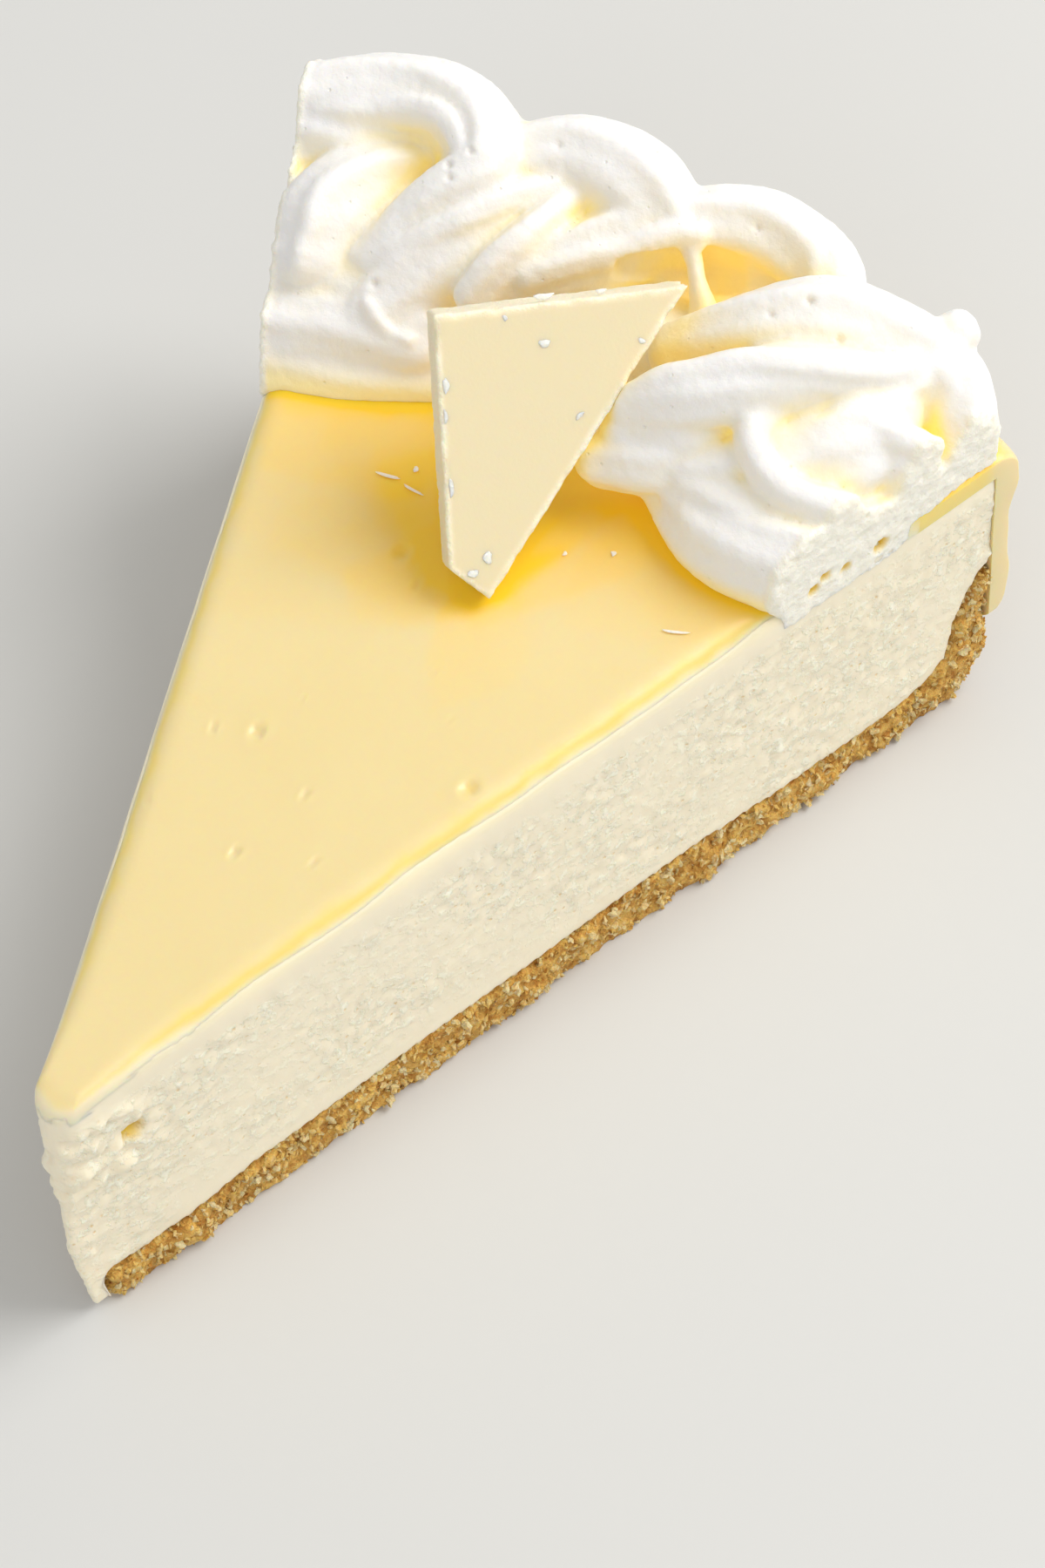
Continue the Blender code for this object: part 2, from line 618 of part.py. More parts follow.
def centre_slice(pieces):
    """Moves the slice so that the middle of its box is over the origin."""
    low = [min(v.co[axis] for piece in pieces for v in piece.data.vertices) for axis in range(3)]
    high = [max(v.co[axis] for piece in pieces for v in piece.data.vertices) for axis in range(3)]
    shift = Vector(((low[0] + high[0]) / 2.0, (low[1] + high[1]) / 2.0, low[2]))
    for piece in pieces:
        for vertex in piece.data.vertices:
            vertex.co -= shift
    print("shift in mm", [round(c / MM, 2) for c in shift])


def main():
    for old in list(bpy.data.objects):
        bpy.data.objects.remove(old)
    crumb = make_material("baked_crumb", (0.62, 0.36, 0.14), 0.85)
    cheese = make_material("cheese_filling", (0.85, 0.78, 0.62), 0.6)
    icing = make_material("white_chocolate_ganache", (0.93, 0.76, 0.36), 0.3)
    cream = make_material("whipped_cream", (0.93, 0.92, 0.88), 0.5)
    chocolate = make_material("white_chocolate", (0.88, 0.76, 0.46), 0.4)
    pieces = [build_crust(crumb), build_filling(cheese), build_ganache(icing), build_cream(cream),
              build_shard(chocolate)]
    make_pocket(pieces[2], icing)
    centre_slice(pieces)
    for piece in pieces:
        piece.data.shade_smooth()
        piece.data.set_sharp_from_angle(angle=math.radians(40.0))
        print(piece.name, "triangles", sum(len(p.vertices) - 2 for p in piece.data.polygons))


main()
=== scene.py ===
# %% [markdown]
# # A slice of white chocolate cheesecake
# The solids of the slice are already modelled: crust, filling, ganache, whipped cream and a
# piece of white chocolate. This lesson dresses them. Each soft piece is made again with far
# finer faces and gets the small relief that a knife, an oven or a piping bag leaves, then a
# material whose light soaks in. The solids stay the frame that everything is fitted to.

# %% Load the solids
import math

import bmesh
import bpy
import numpy as np
from mathutils import Matrix, Vector, noise
from mathutils.bvhtree import BVHTree


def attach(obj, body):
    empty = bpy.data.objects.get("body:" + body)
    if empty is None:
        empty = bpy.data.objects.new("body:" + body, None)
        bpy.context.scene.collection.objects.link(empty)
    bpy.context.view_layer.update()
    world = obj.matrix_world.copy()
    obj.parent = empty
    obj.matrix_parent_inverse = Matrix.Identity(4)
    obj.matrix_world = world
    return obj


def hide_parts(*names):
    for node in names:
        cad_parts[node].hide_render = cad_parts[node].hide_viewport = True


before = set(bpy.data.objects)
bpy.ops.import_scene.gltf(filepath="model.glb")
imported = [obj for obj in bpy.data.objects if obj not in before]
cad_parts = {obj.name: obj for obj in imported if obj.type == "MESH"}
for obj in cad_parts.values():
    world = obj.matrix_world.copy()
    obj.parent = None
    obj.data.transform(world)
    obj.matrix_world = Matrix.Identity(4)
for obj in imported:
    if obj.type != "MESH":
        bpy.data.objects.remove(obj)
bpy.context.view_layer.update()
print("solids:", sorted(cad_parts))

# %% [markdown]
# ## Where things are on a cake
# A slice is easiest to describe from the middle of its cake: how far out, how many degrees
# to one side, how high. The solids lie with the middle of their box over the origin, so one
# shift in X leads from the cake's middle to the scene. Sizes below are in millimetres.

# %% Sizes of the slice
MM = 0.001
CAKE_MIDDLE = np.array([-58.79, 0.0, 0.0])
CAKE_RADIUS = 113.5
HALF_ANGLE = math.radians(19.75)
FILLING_TOP = 34.7
ICING_TOP = 37.7


def on_cake(radius, degrees, height):
    """Place in mm from the cake's middle."""
    turn = math.radians(degrees)
    return Vector((radius * math.cos(turn), radius * math.sin(turn), height))


def into_slice(points):
    """How far each point lies behind the nearer of the two cut faces, in mm."""
    points = np.asarray(points)
    right = points[:, 0] * math.sin(HALF_ANGLE) + points[:, 1] * math.cos(HALF_ANGLE)
    left = points[:, 0] * math.sin(HALF_ANGLE) - points[:, 1] * math.cos(HALF_ANGLE)
    return np.minimum(right, left)


# %% [markdown]
# ## Meshes as arrays
# Fine relief means moving some hundred thousand vertices. Reading all of them into one
# array, changing the array and writing it back is far quicker than a loop over the mesh,
# and the same few helpers serve every piece.

# %% Read and write vertices
def read_points(piece):
    """Vertices in mm from the cake's middle."""
    flat = np.empty(3 * len(piece.data.vertices))
    piece.data.vertices.foreach_get("co", flat)
    return flat.reshape(-1, 3) / MM - CAKE_MIDDLE


def write_points(piece, points):
    piece.data.vertices.foreach_set("co", ((points + CAKE_MIDDLE) * MM).ravel())
    piece.data.update()


def read_normals(piece):
    flat = np.empty(3 * len(piece.data.vertices))
    piece.data.vertices.foreach_get("normal", flat)
    return flat.reshape(-1, 3)


def write_mask(piece, name, values):
    """Stores one number for each vertex, for a material to read."""
    layer = piece.data.attributes.new(name, "FLOAT", "POINT")
    layer.data.foreach_set("value", np.asarray(values, dtype=np.float32))


def new_piece(name, points, faces):
    """Object from points in mm from the cake's middle."""
    mesh = bpy.data.meshes.new(name)
    mesh.from_pydata(((np.asarray(points) + CAKE_MIDDLE) * MM).tolist(), [], faces)
    mesh.update()
    piece = bpy.data.objects.new(name, mesh)
    bpy.context.scene.collection.objects.link(piece)
    return piece


# %% Uneven values and soft steps
def uneven(points, size, seed=0.0):
    """Smooth random value, about -1 to 1, at each point; it changes over the size in mm."""
    shift = Vector((seed, -seed, 3.1 * seed))
    return np.array([noise.noise(Vector(p) / size + shift) for p in points])


def soft_step(low, high, values):
    """0 below low, 1 above high, with a soft run between them."""
    share = np.clip((np.asarray(values) - low) / (high - low), 0.0, 1.0)
    return share * share * (3.0 - 2.0 * share)


def fade(low, high, values):
    """1 below low, 0 above high, with a soft run between them."""
    return 1.0 - soft_step(low, high, values)


# %% Apply a modifier
def baked(piece, kind, **settings):
    """Adds one modifier, applies it and leaves a plain mesh."""
    step = piece.modifiers.new(kind.lower(), kind)
    for key, value in settings.items():
        setattr(step, key, value)
    graph = bpy.context.evaluated_depsgraph_get()
    mesh = bpy.data.meshes.new_from_object(piece.evaluated_get(graph))
    piece.modifiers.clear()
    piece.data = mesh
    return piece


# %% Merge, join and dress meshes
SAME_CORNER = 0.002 * MM


def mend(piece, change):
    """Runs one mesh operation on all of the piece."""
    scratch = bmesh.new()
    scratch.from_mesh(piece.data)
    change(scratch)
    scratch.to_mesh(piece.data)
    scratch.free()
    return piece


def merged_copy(node, name):
    """A copy of a solid whose loose triangles are joined at their corners."""
    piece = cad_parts[node].copy()
    piece.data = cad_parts[node].data.copy()
    piece.name = name
    piece.data.materials.clear()
    bpy.context.scene.collection.objects.link(piece)
    return mend(piece, lambda mesh: bmesh.ops.remove_doubles(mesh, verts=mesh.verts, dist=SAME_CORNER))


def joined(name, parts):
    """One piece from (points, faces) of several bodies, with all faces turned outwards."""
    points, faces = [], []
    for more_points, more_faces in parts:
        faces += [[index + len(points) for index in face] for face in more_faces]
        points += more_points
    piece = new_piece(name, [tuple(point) for point in points], faces)
    return mend(piece, lambda mesh: bmesh.ops.recalc_face_normals(mesh, faces=mesh.faces))


def dress(piece, material):
    """Gives the piece one material and smooth shading."""
    piece.data.materials.clear()
    piece.data.materials.append(material)
    piece.data.polygons.foreach_set("material_index", [0] * len(piece.data.polygons))
    piece.data.shade_smooth()


# %% Hollows of a surface
def neighbours(piece):
    """A function that averages values over each vertex's neighbours."""
    count = len(piece.data.vertices)
    edges = np.empty(2 * len(piece.data.edges), dtype=np.int64)
    piece.data.edges.foreach_get("vertices", edges)
    one, two = edges.reshape(-1, 2).T
    links = np.maximum(np.bincount(one, minlength=count) + np.bincount(two, minlength=count), 1)

    def average(values):
        return (np.bincount(one, values[two], count) + np.bincount(two, values[one], count)) / links

    return average


def hollows(piece, rounds):
    """How far each vertex lies below the softened surface, in mm: positive in a fold."""
    points = read_points(piece)
    average = neighbours(piece)
    soft = points.copy()
    for _ in range(rounds):
        for axis in range(3):
            soft[:, axis] = average(soft[:, axis])
    return np.einsum("ij,ij->i", soft - points, read_normals(piece))


# %% [markdown]
# ## Materials for soft food
# Light goes a few millimetres into cream, cheese and chocolate before it comes out again,
# which softens every shade and makes it warmer. Subsurface scattering does that. On top of
# it each food has its own small detail, and two effects are used by more than one of them:
# a fine grain, and the round pits that air leaves. Each is a node group, built once.

# %% Node helpers
def add_node(tree, kind, feed=None, **settings):
    """A node with its settings; feed gives an input a value, or the socket that it reads."""
    node = tree.nodes.new(kind)
    for key, value in settings.items():
        setattr(node, key, value)
    for label, value in (feed or {}).items():
        if isinstance(value, bpy.types.NodeSocket):
            tree.links.new(value, node.inputs[label])
        else:
            node.inputs[label].default_value = value
    return node


def calculate(tree, operation, *values, **settings):
    feed = dict(enumerate(values))
    return add_node(tree, "ShaderNodeMath", feed, operation=operation, **settings).outputs[0]


def new_group(name, values):
    """Shader node group with number inputs."""
    group = bpy.data.node_groups.new(name, "ShaderNodeTree")
    for label, value in values.items():
        socket = group.interface.new_socket(label, in_out="INPUT", socket_type="NodeSocketFloat")
        socket.default_value = value
    return group, add_node(group, "NodeGroupInput").outputs


def put_out(group, label, socket):
    group.interface.new_socket(label, in_out="OUTPUT", socket_type="NodeSocketFloat")
    add_node(group, "NodeGroupOutput", {label: socket})
    return group


# %% Grain group
# Sizes are in millimetres; textures on object coordinates count in metres.
def build_grain():
    group, given = new_group("fine_grain", {"Size": 1.0, "Contrast": 1.0})
    spots = add_node(group, "ShaderNodeTexNoise", {
        "Vector": add_node(group, "ShaderNodeTexCoord").outputs["Object"],
        "Scale": calculate(group, "DIVIDE", 1.0 / MM, given["Size"]),
        "Detail": 4.0, "Roughness": 0.6})
    centred = calculate(group, "SUBTRACT", spots.outputs["Fac"], 0.5)
    spread = calculate(group, "MULTIPLY_ADD", centred, given["Contrast"], 0.5, use_clamp=True)
    return put_out(group, "Grain", spread)


grain_group = build_grain()


# %% Air pit group
def build_pits():
    """Round pits: 1 in the middle of a pit, 0 outside; Amount is the share that is open."""
    group, given = new_group("air_pits", {"Spacing": 3.0, "Radius": 0.25, "Amount": 0.5})
    cells = add_node(group, "ShaderNodeTexVoronoi", {
        "Vector": add_node(group, "ShaderNodeTexCoord").outputs["Object"],
        "Scale": calculate(group, "DIVIDE", 1.0 / MM, given["Spacing"])})
    depth = add_node(group, "ShaderNodeMapRange", {
        "Value": cells.outputs["Distance"],
        "From Max": calculate(group, "DIVIDE", given["Radius"], given["Spacing"]),
        "To Min": 1.0, "To Max": 0.0}, interpolation_type="SMOOTHSTEP")
    apart = add_node(group, "ShaderNodeSeparateColor", {"Color": cells.outputs["Color"]})
    chosen = calculate(group, "LESS_THAN", apart.outputs["Red"], given["Amount"])
    return put_out(group, "Pit", calculate(group, "MULTIPLY", depth.outputs["Result"], chosen))


pit_group = build_pits()


# %% Material helpers
def soft_food(name, colour, roughness, soak, depth, tint):
    """Principled material whose light soaks in: soak is its share, depth in mm."""
    material = bpy.data.materials.new(name)
    material.use_nodes = True
    shader = material.node_tree.nodes["Principled BSDF"]
    shader.inputs["Base Color"].default_value = (*colour, 1.0)
    shader.inputs["Roughness"].default_value = roughness
    shader.inputs["Subsurface Weight"].default_value = soak
    shader.inputs["Subsurface Scale"].default_value = depth * MM
    shader.inputs["Subsurface Radius"].default_value = tint
    material.diffuse_color = (*colour, 1.0)
    return material, material.node_tree, shader


def grain(tree, size, contrast):
    feed = {"Size": size, "Contrast": contrast}
    return add_node(tree, "ShaderNodeGroup", feed, node_tree=grain_group).outputs["Grain"]


def air_pits(tree, spacing, radius, amount):
    feed = {"Spacing": spacing, "Radius": radius, "Amount": amount}
    return add_node(tree, "ShaderNodeGroup", feed, node_tree=pit_group).outputs["Pit"]


def read_mask(tree, name):
    return add_node(tree, "ShaderNodeAttribute", attribute_name=name).outputs["Fac"]


def mix_colour(tree, factor, one, two):
    """Colour one where the factor is 0, colour two where it is 1."""
    feed = {"Factor": factor, "A": one, "B": two}
    feed = {label: (*value, 1.0) if isinstance(value, tuple) else value for label, value in feed.items()}
    return add_node(tree, "ShaderNodeMix", feed, data_type="RGBA").outputs["Result"]


def raise_surface(tree, shader, height, depth):
    """Bump from a height of 0 to 1 that stands for depth in mm."""
    bump = add_node(tree, "ShaderNodeBump", {"Distance": depth * MM, "Height": height})
    tree.links.new(bump.outputs["Normal"], shader.inputs["Normal"])


# %% [markdown]
# ## The filling
# Baked cream cheese is dense and smooth, but a knife drags it: the cut face has torn bits and
# pores in the middle, and stays smooth under the icing and just above the crust. A sculptor
# would brush that on. Here the solid is remeshed to small even faces, and noise of several
# sizes pushes them in and out, as strongly as a mask allows.

# %% Remesh the filling
FILLING_FACE = 0.55
SMOOTH_BAND_TOP = 2.6
FILLING_LIFT = 1.8
LIFT_END = 105.0


def refined(node, name, face, soften):
    """Merged copy of a solid with even faces of the given size in mm and softened edges."""
    piece = baked(merged_copy(node, name), "REMESH", mode="VOXEL", voxel_size=face * MM)
    baked(piece, "SMOOTH", factor=0.5, iterations=soften)
    print(name, len(piece.data.polygons), "faces")
    return piece


filling = refined("filling", "filling_cut", FILLING_FACE, 2)


# %% Tear the cut faces
# The hole that a baked crumb left near the point: radius, degrees, height and size in mm.
POINT_HOLE = (10.9, -19.75, 27.1, 1.5)
HOLE_DEPTH = 0.9
LEDGE_HEIGHT = 22.5
TEAR_DEPTH = 0.24
WAVE_DEPTH = 0.10
# The rounded shoulder of the icing along the cuts: its width, its drop and how narrow it gets
SHOULDER = 3.0
SHOULDER_DROP = 2.3
SHOULDER_SHARE = 0.55
BEHIND_CUT = 0.12


def floor_height(reach):
    """Roughly where the crust ends and the filling begins."""
    places = [0.0, 14.0, 24.0, 70.0, 90.0, 103.0, 108.0, 113.0]
    return np.interp(reach, places, [0.6, 5.2, 6.3, 6.8, 5.4, 6.0, 10.0, 21.0])


def follow_shoulder(points, reach):
    """Move points that stand outside the icing's shoulder inwards, onto it."""
    share = np.clip(1.0 - (ICING_TOP - points[:, 2]) / SHOULDER_DROP, 0.0, 1.0)
    narrow = np.minimum(1.0, SHOULDER_SHARE * reach * HALF_ANGLE / SHOULDER)
    inset = SHOULDER * narrow * (1.0 - np.sqrt(1.0 - share ** 2))
    shift = np.maximum(0.0, inset - into_slice(points)) * (share > 0.0)
    points[:, 0] += shift * math.sin(HALF_ANGLE)
    points[:, 1] -= shift * math.cos(HALF_ANGLE) * np.sign(points[:, 1])


def tear_filling(piece):
    points = read_points(piece)
    normals = read_normals(piece)
    reach = np.hypot(points[:, 0], points[:, 1])
    in_plan = points * np.array([1.0, 1.0, 0.0])
    lift = FILLING_LIFT * fade(LIFT_END - 1.5, LIFT_END, reach) * (1.0 + 0.25 * uneven(in_plan, 7.0, 13.0))
    points[:, 2] += lift * soft_step(FILLING_TOP - 2.0, FILLING_TOP - 0.4, points[:, 2])
    near_cut = fade(0.5, 1.2, into_slice(points))
    under_icing = fade(FILLING_TOP - SMOOTH_BAND_TOP, FILLING_TOP - 1.0, points[:, 2])
    smooth_foot = np.interp(reach, [0.0, 14.0, 55.0, 85.0], [1.0, 6.0, 5.0, 1.0])
    over_floor = (points[:, 2] - floor_height(reach)) / smooth_foot
    over_crust = soft_step(0.1, 1.4, over_floor + 0.3 * uneven(points, 5.0, 12.0))
    patches = soft_step(-0.3, 0.2, uneven(points, 9.0, 4.0))
    rough = near_cut * under_icing * over_crust * (0.45 + 0.55 * patches)
    torn = uneven(points, 1.2, 1.0) + 0.8 * uneven(points, 0.7, 2.0)
    waves = uneven(points, 9.0, 5.0)
    tip = near_cut * fade(9.0, 17.0, reach)
    high_tip = tip * soft_step(LEDGE_HEIGHT - 0.7, LEDGE_HEIGHT + 0.3, points[:, 2] - 0.3 * waves)
    push = near_cut * WAVE_DEPTH * waves + rough * TEAR_DEPTH * torn
    push += tip * (0.28 * uneven(points, 4.0, 6.0) - 0.2)
    lumps = 0.35 + 0.7 * uneven(points, 2.4, 7.0) + 0.5 * uneven(points, 1.2, 11.0)
    push += high_tip * under_icing * lumps
    push *= fade(FILLING_TOP - 1.6, FILLING_TOP - 0.2, points[:, 2])
    hole_place = np.array(on_cake(*POINT_HOLE[:3]))
    hole = fade(0.45, 1.0, np.linalg.norm(points - hole_place, axis=1) / POINT_HOLE[3])
    push -= HOLE_DEPTH * hole
    points += normals * push[:, None]
    follow_shoulder(points, reach)
    write_points(piece, points)
    write_mask(piece, "rough", rough)
    write_mask(piece, "hole", hole)
    write_mask(piece, "iced", soft_step(FILLING_TOP + 0.2, FILLING_TOP + 1.4, points[:, 2]))


tear_filling(filling)
print("filling torn")

# %% Filling material
IVORY = (0.93, 0.832, 0.64)
FLECK_WHITE = (1.0, 0.93, 0.745)
PORE_SHADE = (0.80, 0.52, 0.16)
HOLE_GOLD = (0.80, 0.55, 0.02)
ICED_IVORY = (0.90, 0.80, 0.56)
FLECK_LEVEL = 0.5
PORE_STRENGTH = 0.7
CREAMY_TINT = (1.0, 0.86, 0.66)


def filling_material():
    material, tree, shader = soft_food("cheese_filling_look", IVORY, 0.5, 0.6, 1.0, CREAMY_TINT)
    rough = read_mask(tree, "rough")
    above = calculate(tree, "MAXIMUM", calculate(tree, "SUBTRACT", grain(tree, 0.95, 4.0), FLECK_LEVEL), 0.0)
    flecks = calculate(tree, "MULTIPLY", calculate(tree, "DIVIDE", above, 1.0 - FLECK_LEVEL), rough)
    open_pits = calculate(tree, "MULTIPLY", air_pits(tree, 1.25, 0.26, 0.7), rough)
    body = mix_colour(tree, flecks, IVORY, FLECK_WHITE)
    body = mix_colour(tree, calculate(tree, "MULTIPLY", open_pits, PORE_STRENGTH), body, PORE_SHADE)
    body = mix_colour(tree, read_mask(tree, "iced"), body, ICED_IVORY)
    body = mix_colour(tree, read_mask(tree, "hole"), body, HOLE_GOLD)
    tree.links.new(body, shader.inputs["Base Color"])
    raise_surface(tree, shader, calculate(tree, "SUBTRACT", flecks, open_pits), 0.11)
    return material


dress(filling, filling_material())

# %% [markdown]
# ## The crust
# Pressed biscuit crumbs, baked golden. The surface is nothing but crumbs of half a millimetre
# to two, so a bump texture alone would look like sandpaper. The body gets coarse relief, and
# real crumbs are scattered over the sides that were cut or stood against the tin. Geometry
# Nodes suit that: points on the surface, one small lump at each, turned and sized at random.

# %% Remesh the crust
CRUST_FACE = 0.6
CRUMB_RELIEF = 0.5
CRUMBLED_RELIEF = 0.6
crust = refined("crust", "crust_body", CRUST_FACE, 1)


def crumble(piece):
    points = read_points(piece)
    normals = read_normals(piece)
    reach = np.hypot(points[:, 0], points[:, 1])
    cut = fade(1.0, 2.0, into_slice(points))
    wall = soft_step(CAKE_RADIUS - 2.2, CAKE_RADIUS - 1.2, reach) * (normals[:, 2] < 0.8)
    open_side = np.maximum(cut, wall) * soft_step(-0.1, 0.6, points[:, 2])
    lumps = uneven(points, 1.5, 8.0) + 0.5 * uneven(points, 0.7, 9.0)
    crumbled = soft_step(96.0, 106.0, reach) * uneven(points, 2.6, 10.0)
    points += normals * ((CRUMB_RELIEF * lumps + CRUMBLED_RELIEF * crumbled) * open_side)[:, None]
    points[:, 2] = np.maximum(points[:, 2], 0.0)
    write_points(piece, points)
    write_mask(piece, "open_side", open_side)
    # On the body the tone follows the relief: darker in the gaps between lumps, a painted shade, and paler
    # on their tops, painted light.
    write_mask(piece, "crumb_tone_and_gap_shade", np.clip(0.22 + 0.5 * lumps, 0.0, 1.0))


crumble(crust)


# %% Crumb scattering tree
CRUMB_SIZES = {"Apart": 0.85 * MM, "Density": 1.6e6, "Smallest": 0.35 * MM, "Largest": 0.85 * MM}
CRUMB_COUNTS = {"Seed": 11, "Detail": 2}
CRUMB_STRETCH = ((0.7, 0.5, 0.3), (1.7, 1.1, 0.7))
CRUMB_BEND = 1.25 * MM


def random_value(tree, seed, low, high):
    """A random number, or a random vector where low and high are vectors."""
    vector = isinstance(low, tuple)
    first = 0 if vector else 2
    node = add_node(tree, "FunctionNodeRandomValue", {first: low, first + 1: high, "Seed": seed},
                    data_type="FLOAT_VECTOR" if vector else "FLOAT")
    return node.outputs[0 if vector else 1]


def build_crumb_tree(material):
    """Points on the open sides, a lump at each, realized so that each can be bent."""
    tree = bpy.data.node_groups.new("scatter_crumbs", "GeometryNodeTree")
    tree.interface.new_socket("Geometry", in_out="INPUT", socket_type="NodeSocketGeometry")
    for kind, values in (("NodeSocketFloat", CRUMB_SIZES), ("NodeSocketInt", CRUMB_COUNTS)):
        for label, value in values.items():
            socket = tree.interface.new_socket(label, in_out="INPUT", socket_type=kind)
            socket.default_value = value
    tree.interface.new_socket("Geometry", in_out="OUTPUT", socket_type="NodeSocketGeometry")
    given = add_node(tree, "NodeGroupInput").outputs
    side = add_node(tree, "GeometryNodeInputNamedAttribute", {"Name": "open_side"}, data_type="FLOAT")
    scatter = add_node(tree, "GeometryNodeDistributePointsOnFaces", distribute_method="POISSON", feed={
        "Mesh": given["Geometry"], "Distance Min": given["Apart"], "Density Max": given["Density"],
        "Density Factor": side.outputs["Attribute"], "Seed": given["Seed"]})
    lump = add_node(tree, "GeometryNodeMeshIcoSphere", {"Radius": 1.0, "Subdivisions": given["Detail"]})
    scale = add_node(tree, "ShaderNodeVectorMath", operation="SCALE", feed={
        0: random_value(tree, given["Seed"], *CRUMB_STRETCH),
        "Scale": random_value(tree, given["Seed"], given["Smallest"], given["Largest"])})
    place = add_node(tree, "GeometryNodeInstanceOnPoints", {
        "Points": scatter.outputs["Points"], "Instance": lump.outputs["Mesh"], "Scale": scale.outputs[0],
        "Rotation": random_value(tree, given["Seed"], (0.0,) * 3, (math.tau,) * 3)})
    tell = add_node(tree, "GeometryNodeStoreNamedAttribute", data_type="FLOAT", domain="INSTANCE", feed={
        "Geometry": place.outputs["Instances"], "Name": "crumb_tone_and_gap_shade",
        "Value": random_value(tree, given["Seed"], 0.0, 1.0)})
    realize = add_node(tree, "GeometryNodeRealizeInstances", {"Geometry": tell.outputs["Geometry"]})
    lumps = add_node(tree, "ShaderNodeTexNoise", {"Scale": 1.9 / MM})
    centred = add_node(tree, "ShaderNodeVectorMath", {0: lumps.outputs["Color"], 1: (0.5, 0.5, 0.5)},
                       operation="SUBTRACT")
    amount = add_node(tree, "ShaderNodeVectorMath", {0: centred.outputs[0], "Scale": CRUMB_BEND},
                      operation="SCALE")
    bend = add_node(tree, "GeometryNodeSetPosition", {
        "Geometry": realize.outputs["Geometry"], "Offset": amount.outputs[0]})
    finish = add_node(tree, "GeometryNodeSetMaterial", {
        "Geometry": bend.outputs["Geometry"], "Material": material})
    add_node(tree, "NodeGroupOutput", {"Geometry": finish.outputs["Geometry"]})
    return tree


def run_tree(piece, tree, name, **values):
    """A new plain mesh piece with what the tree makes from this piece, none of it under the floor."""
    step = piece.modifiers.new("nodes", "NODES")
    step.node_group = tree
    named = {item.name: item.identifier for item in tree.interface.items_tree if item.in_out == "INPUT"}
    for label, value in values.items():
        step[named[label]] = value
    graph = bpy.context.evaluated_depsgraph_get()
    mesh = bpy.data.meshes.new_from_object(piece.evaluated_get(graph))
    piece.modifiers.clear()
    made = bpy.data.objects.new(name, mesh)
    bpy.context.scene.collection.objects.link(made)
    corners = 10 * 4 ** (values["Detail"] - 1) + 2
    points = read_points(made).reshape(-1, corners, 3)
    points[:, :, 2] -= np.minimum(points[:, :, 2].min(axis=1), 0.0)[:, None]
    write_points(made, points.reshape(-1, 3))
    print(name, len(mesh.polygons), "faces")
    return made


# %% Crust material
# Dark, golden and pale: the scattered crumbs get a random tone, while the body's tone is painted shade in
# its gaps and painted light on its lumps.
DARK_CRUMB_AND_GAP_SHADE = (0.55, 0.22, 0.02)
GOLDEN_CRUMB = (1.0, 0.60, 0.135)
PALE_CRUMB_AND_LUMP_LIGHT = (1.0, 0.82, 0.46)


def crust_material():
    material, tree, shader = soft_food("baked_crumb_look", GOLDEN_CRUMB, 0.7, 0.25, 0.5, (1.0, 0.5, 0.2))
    half = calculate(tree, "MULTIPLY", grain(tree, 0.8, 2.6), 0.38)
    level = calculate(tree, "ADD", calculate(tree, "MULTIPLY", read_mask(tree, "crumb_tone_and_gap_shade"), 0.7), half)
    ramp = add_node(tree, "ShaderNodeValToRGB", {"Fac": level})
    stops = ramp.color_ramp.elements
    stops.new(0.5)
    for stop, place, colour in zip(stops, (0.12, 0.5, 0.95), (DARK_CRUMB_AND_GAP_SHADE, GOLDEN_CRUMB, PALE_CRUMB_AND_LUMP_LIGHT)):
        stop.position = place
        stop.color = (*colour, 1.0)
    tree.links.new(ramp.outputs["Color"], shader.inputs["Base Color"])
    raise_surface(tree, shader, grain(tree, 0.4, 2.4), 0.4)
    return material


baked_crumb = crust_material()
dress(crust, baked_crumb)
crumb_tree = build_crumb_tree(baked_crumb)
crumbs = run_tree(crust, crumb_tree, "crust_crumbs", Seed=11, Detail=2,
                  Apart=0.95 * MM, Smallest=0.22 * MM, Largest=0.56 * MM)
fine_crumbs = run_tree(crust, crumb_tree, "fine_crust_crumbs", Seed=12, Detail=1,
                       Apart=0.56 * MM, Density=5.0e6, Smallest=0.14 * MM, Largest=0.34 * MM)

# %% [markdown]
# ## The ganache
# Poured white chocolate icing finds its own level, rounds off at the cut as it warms, and
# runs over the rim in drips. It is built as a sheet of points, row by row from the point of
# the slice to the end of the drips, once for its top and once for its underside. That gives
# clean highlights, which a remeshed copy would not.

# %% Plan of the slice
NOSE = 2.35
NOSE_BLEND = 30.0
POINT_START = NOSE / math.tan(HALF_ANGLE)


def plan_point(reach, across):
    """Place in plan, reach from the point and across from 0 (right) to 1 (left)."""
    angle = (2.0 * across - 1.0) * HALF_ANGLE
    swing = (2.0 * across - 1.0) * (math.pi / 2.0 - HALF_ANGLE)
    keep = fade(0.0, 1.0, (reach - POINT_START) / NOSE_BLEND)
    shift = NOSE / math.sin(HALF_ANGLE) - NOSE * np.cos(swing) - POINT_START * np.cos(angle)
    x = reach * np.cos(angle) + keep * shift
    y = reach * np.sin(angle) + keep * (NOSE * np.sin(swing) - POINT_START * np.sin(angle))
    return x, y


# %% Drips
DRIP_THICK = 2.0
DRIP_HEM = 3.0
DRIP_ROUNDNESS = 2.6
DRIPS = [(-18.6, 2.6, 28.0), (-11.5, 2.6, 11.0), (-4.5, 3.0, 19.0),
         (3.2, 2.6, 9.0), (10.0, 3.0, 23.0), (17.0, 2.8, 13.0)]


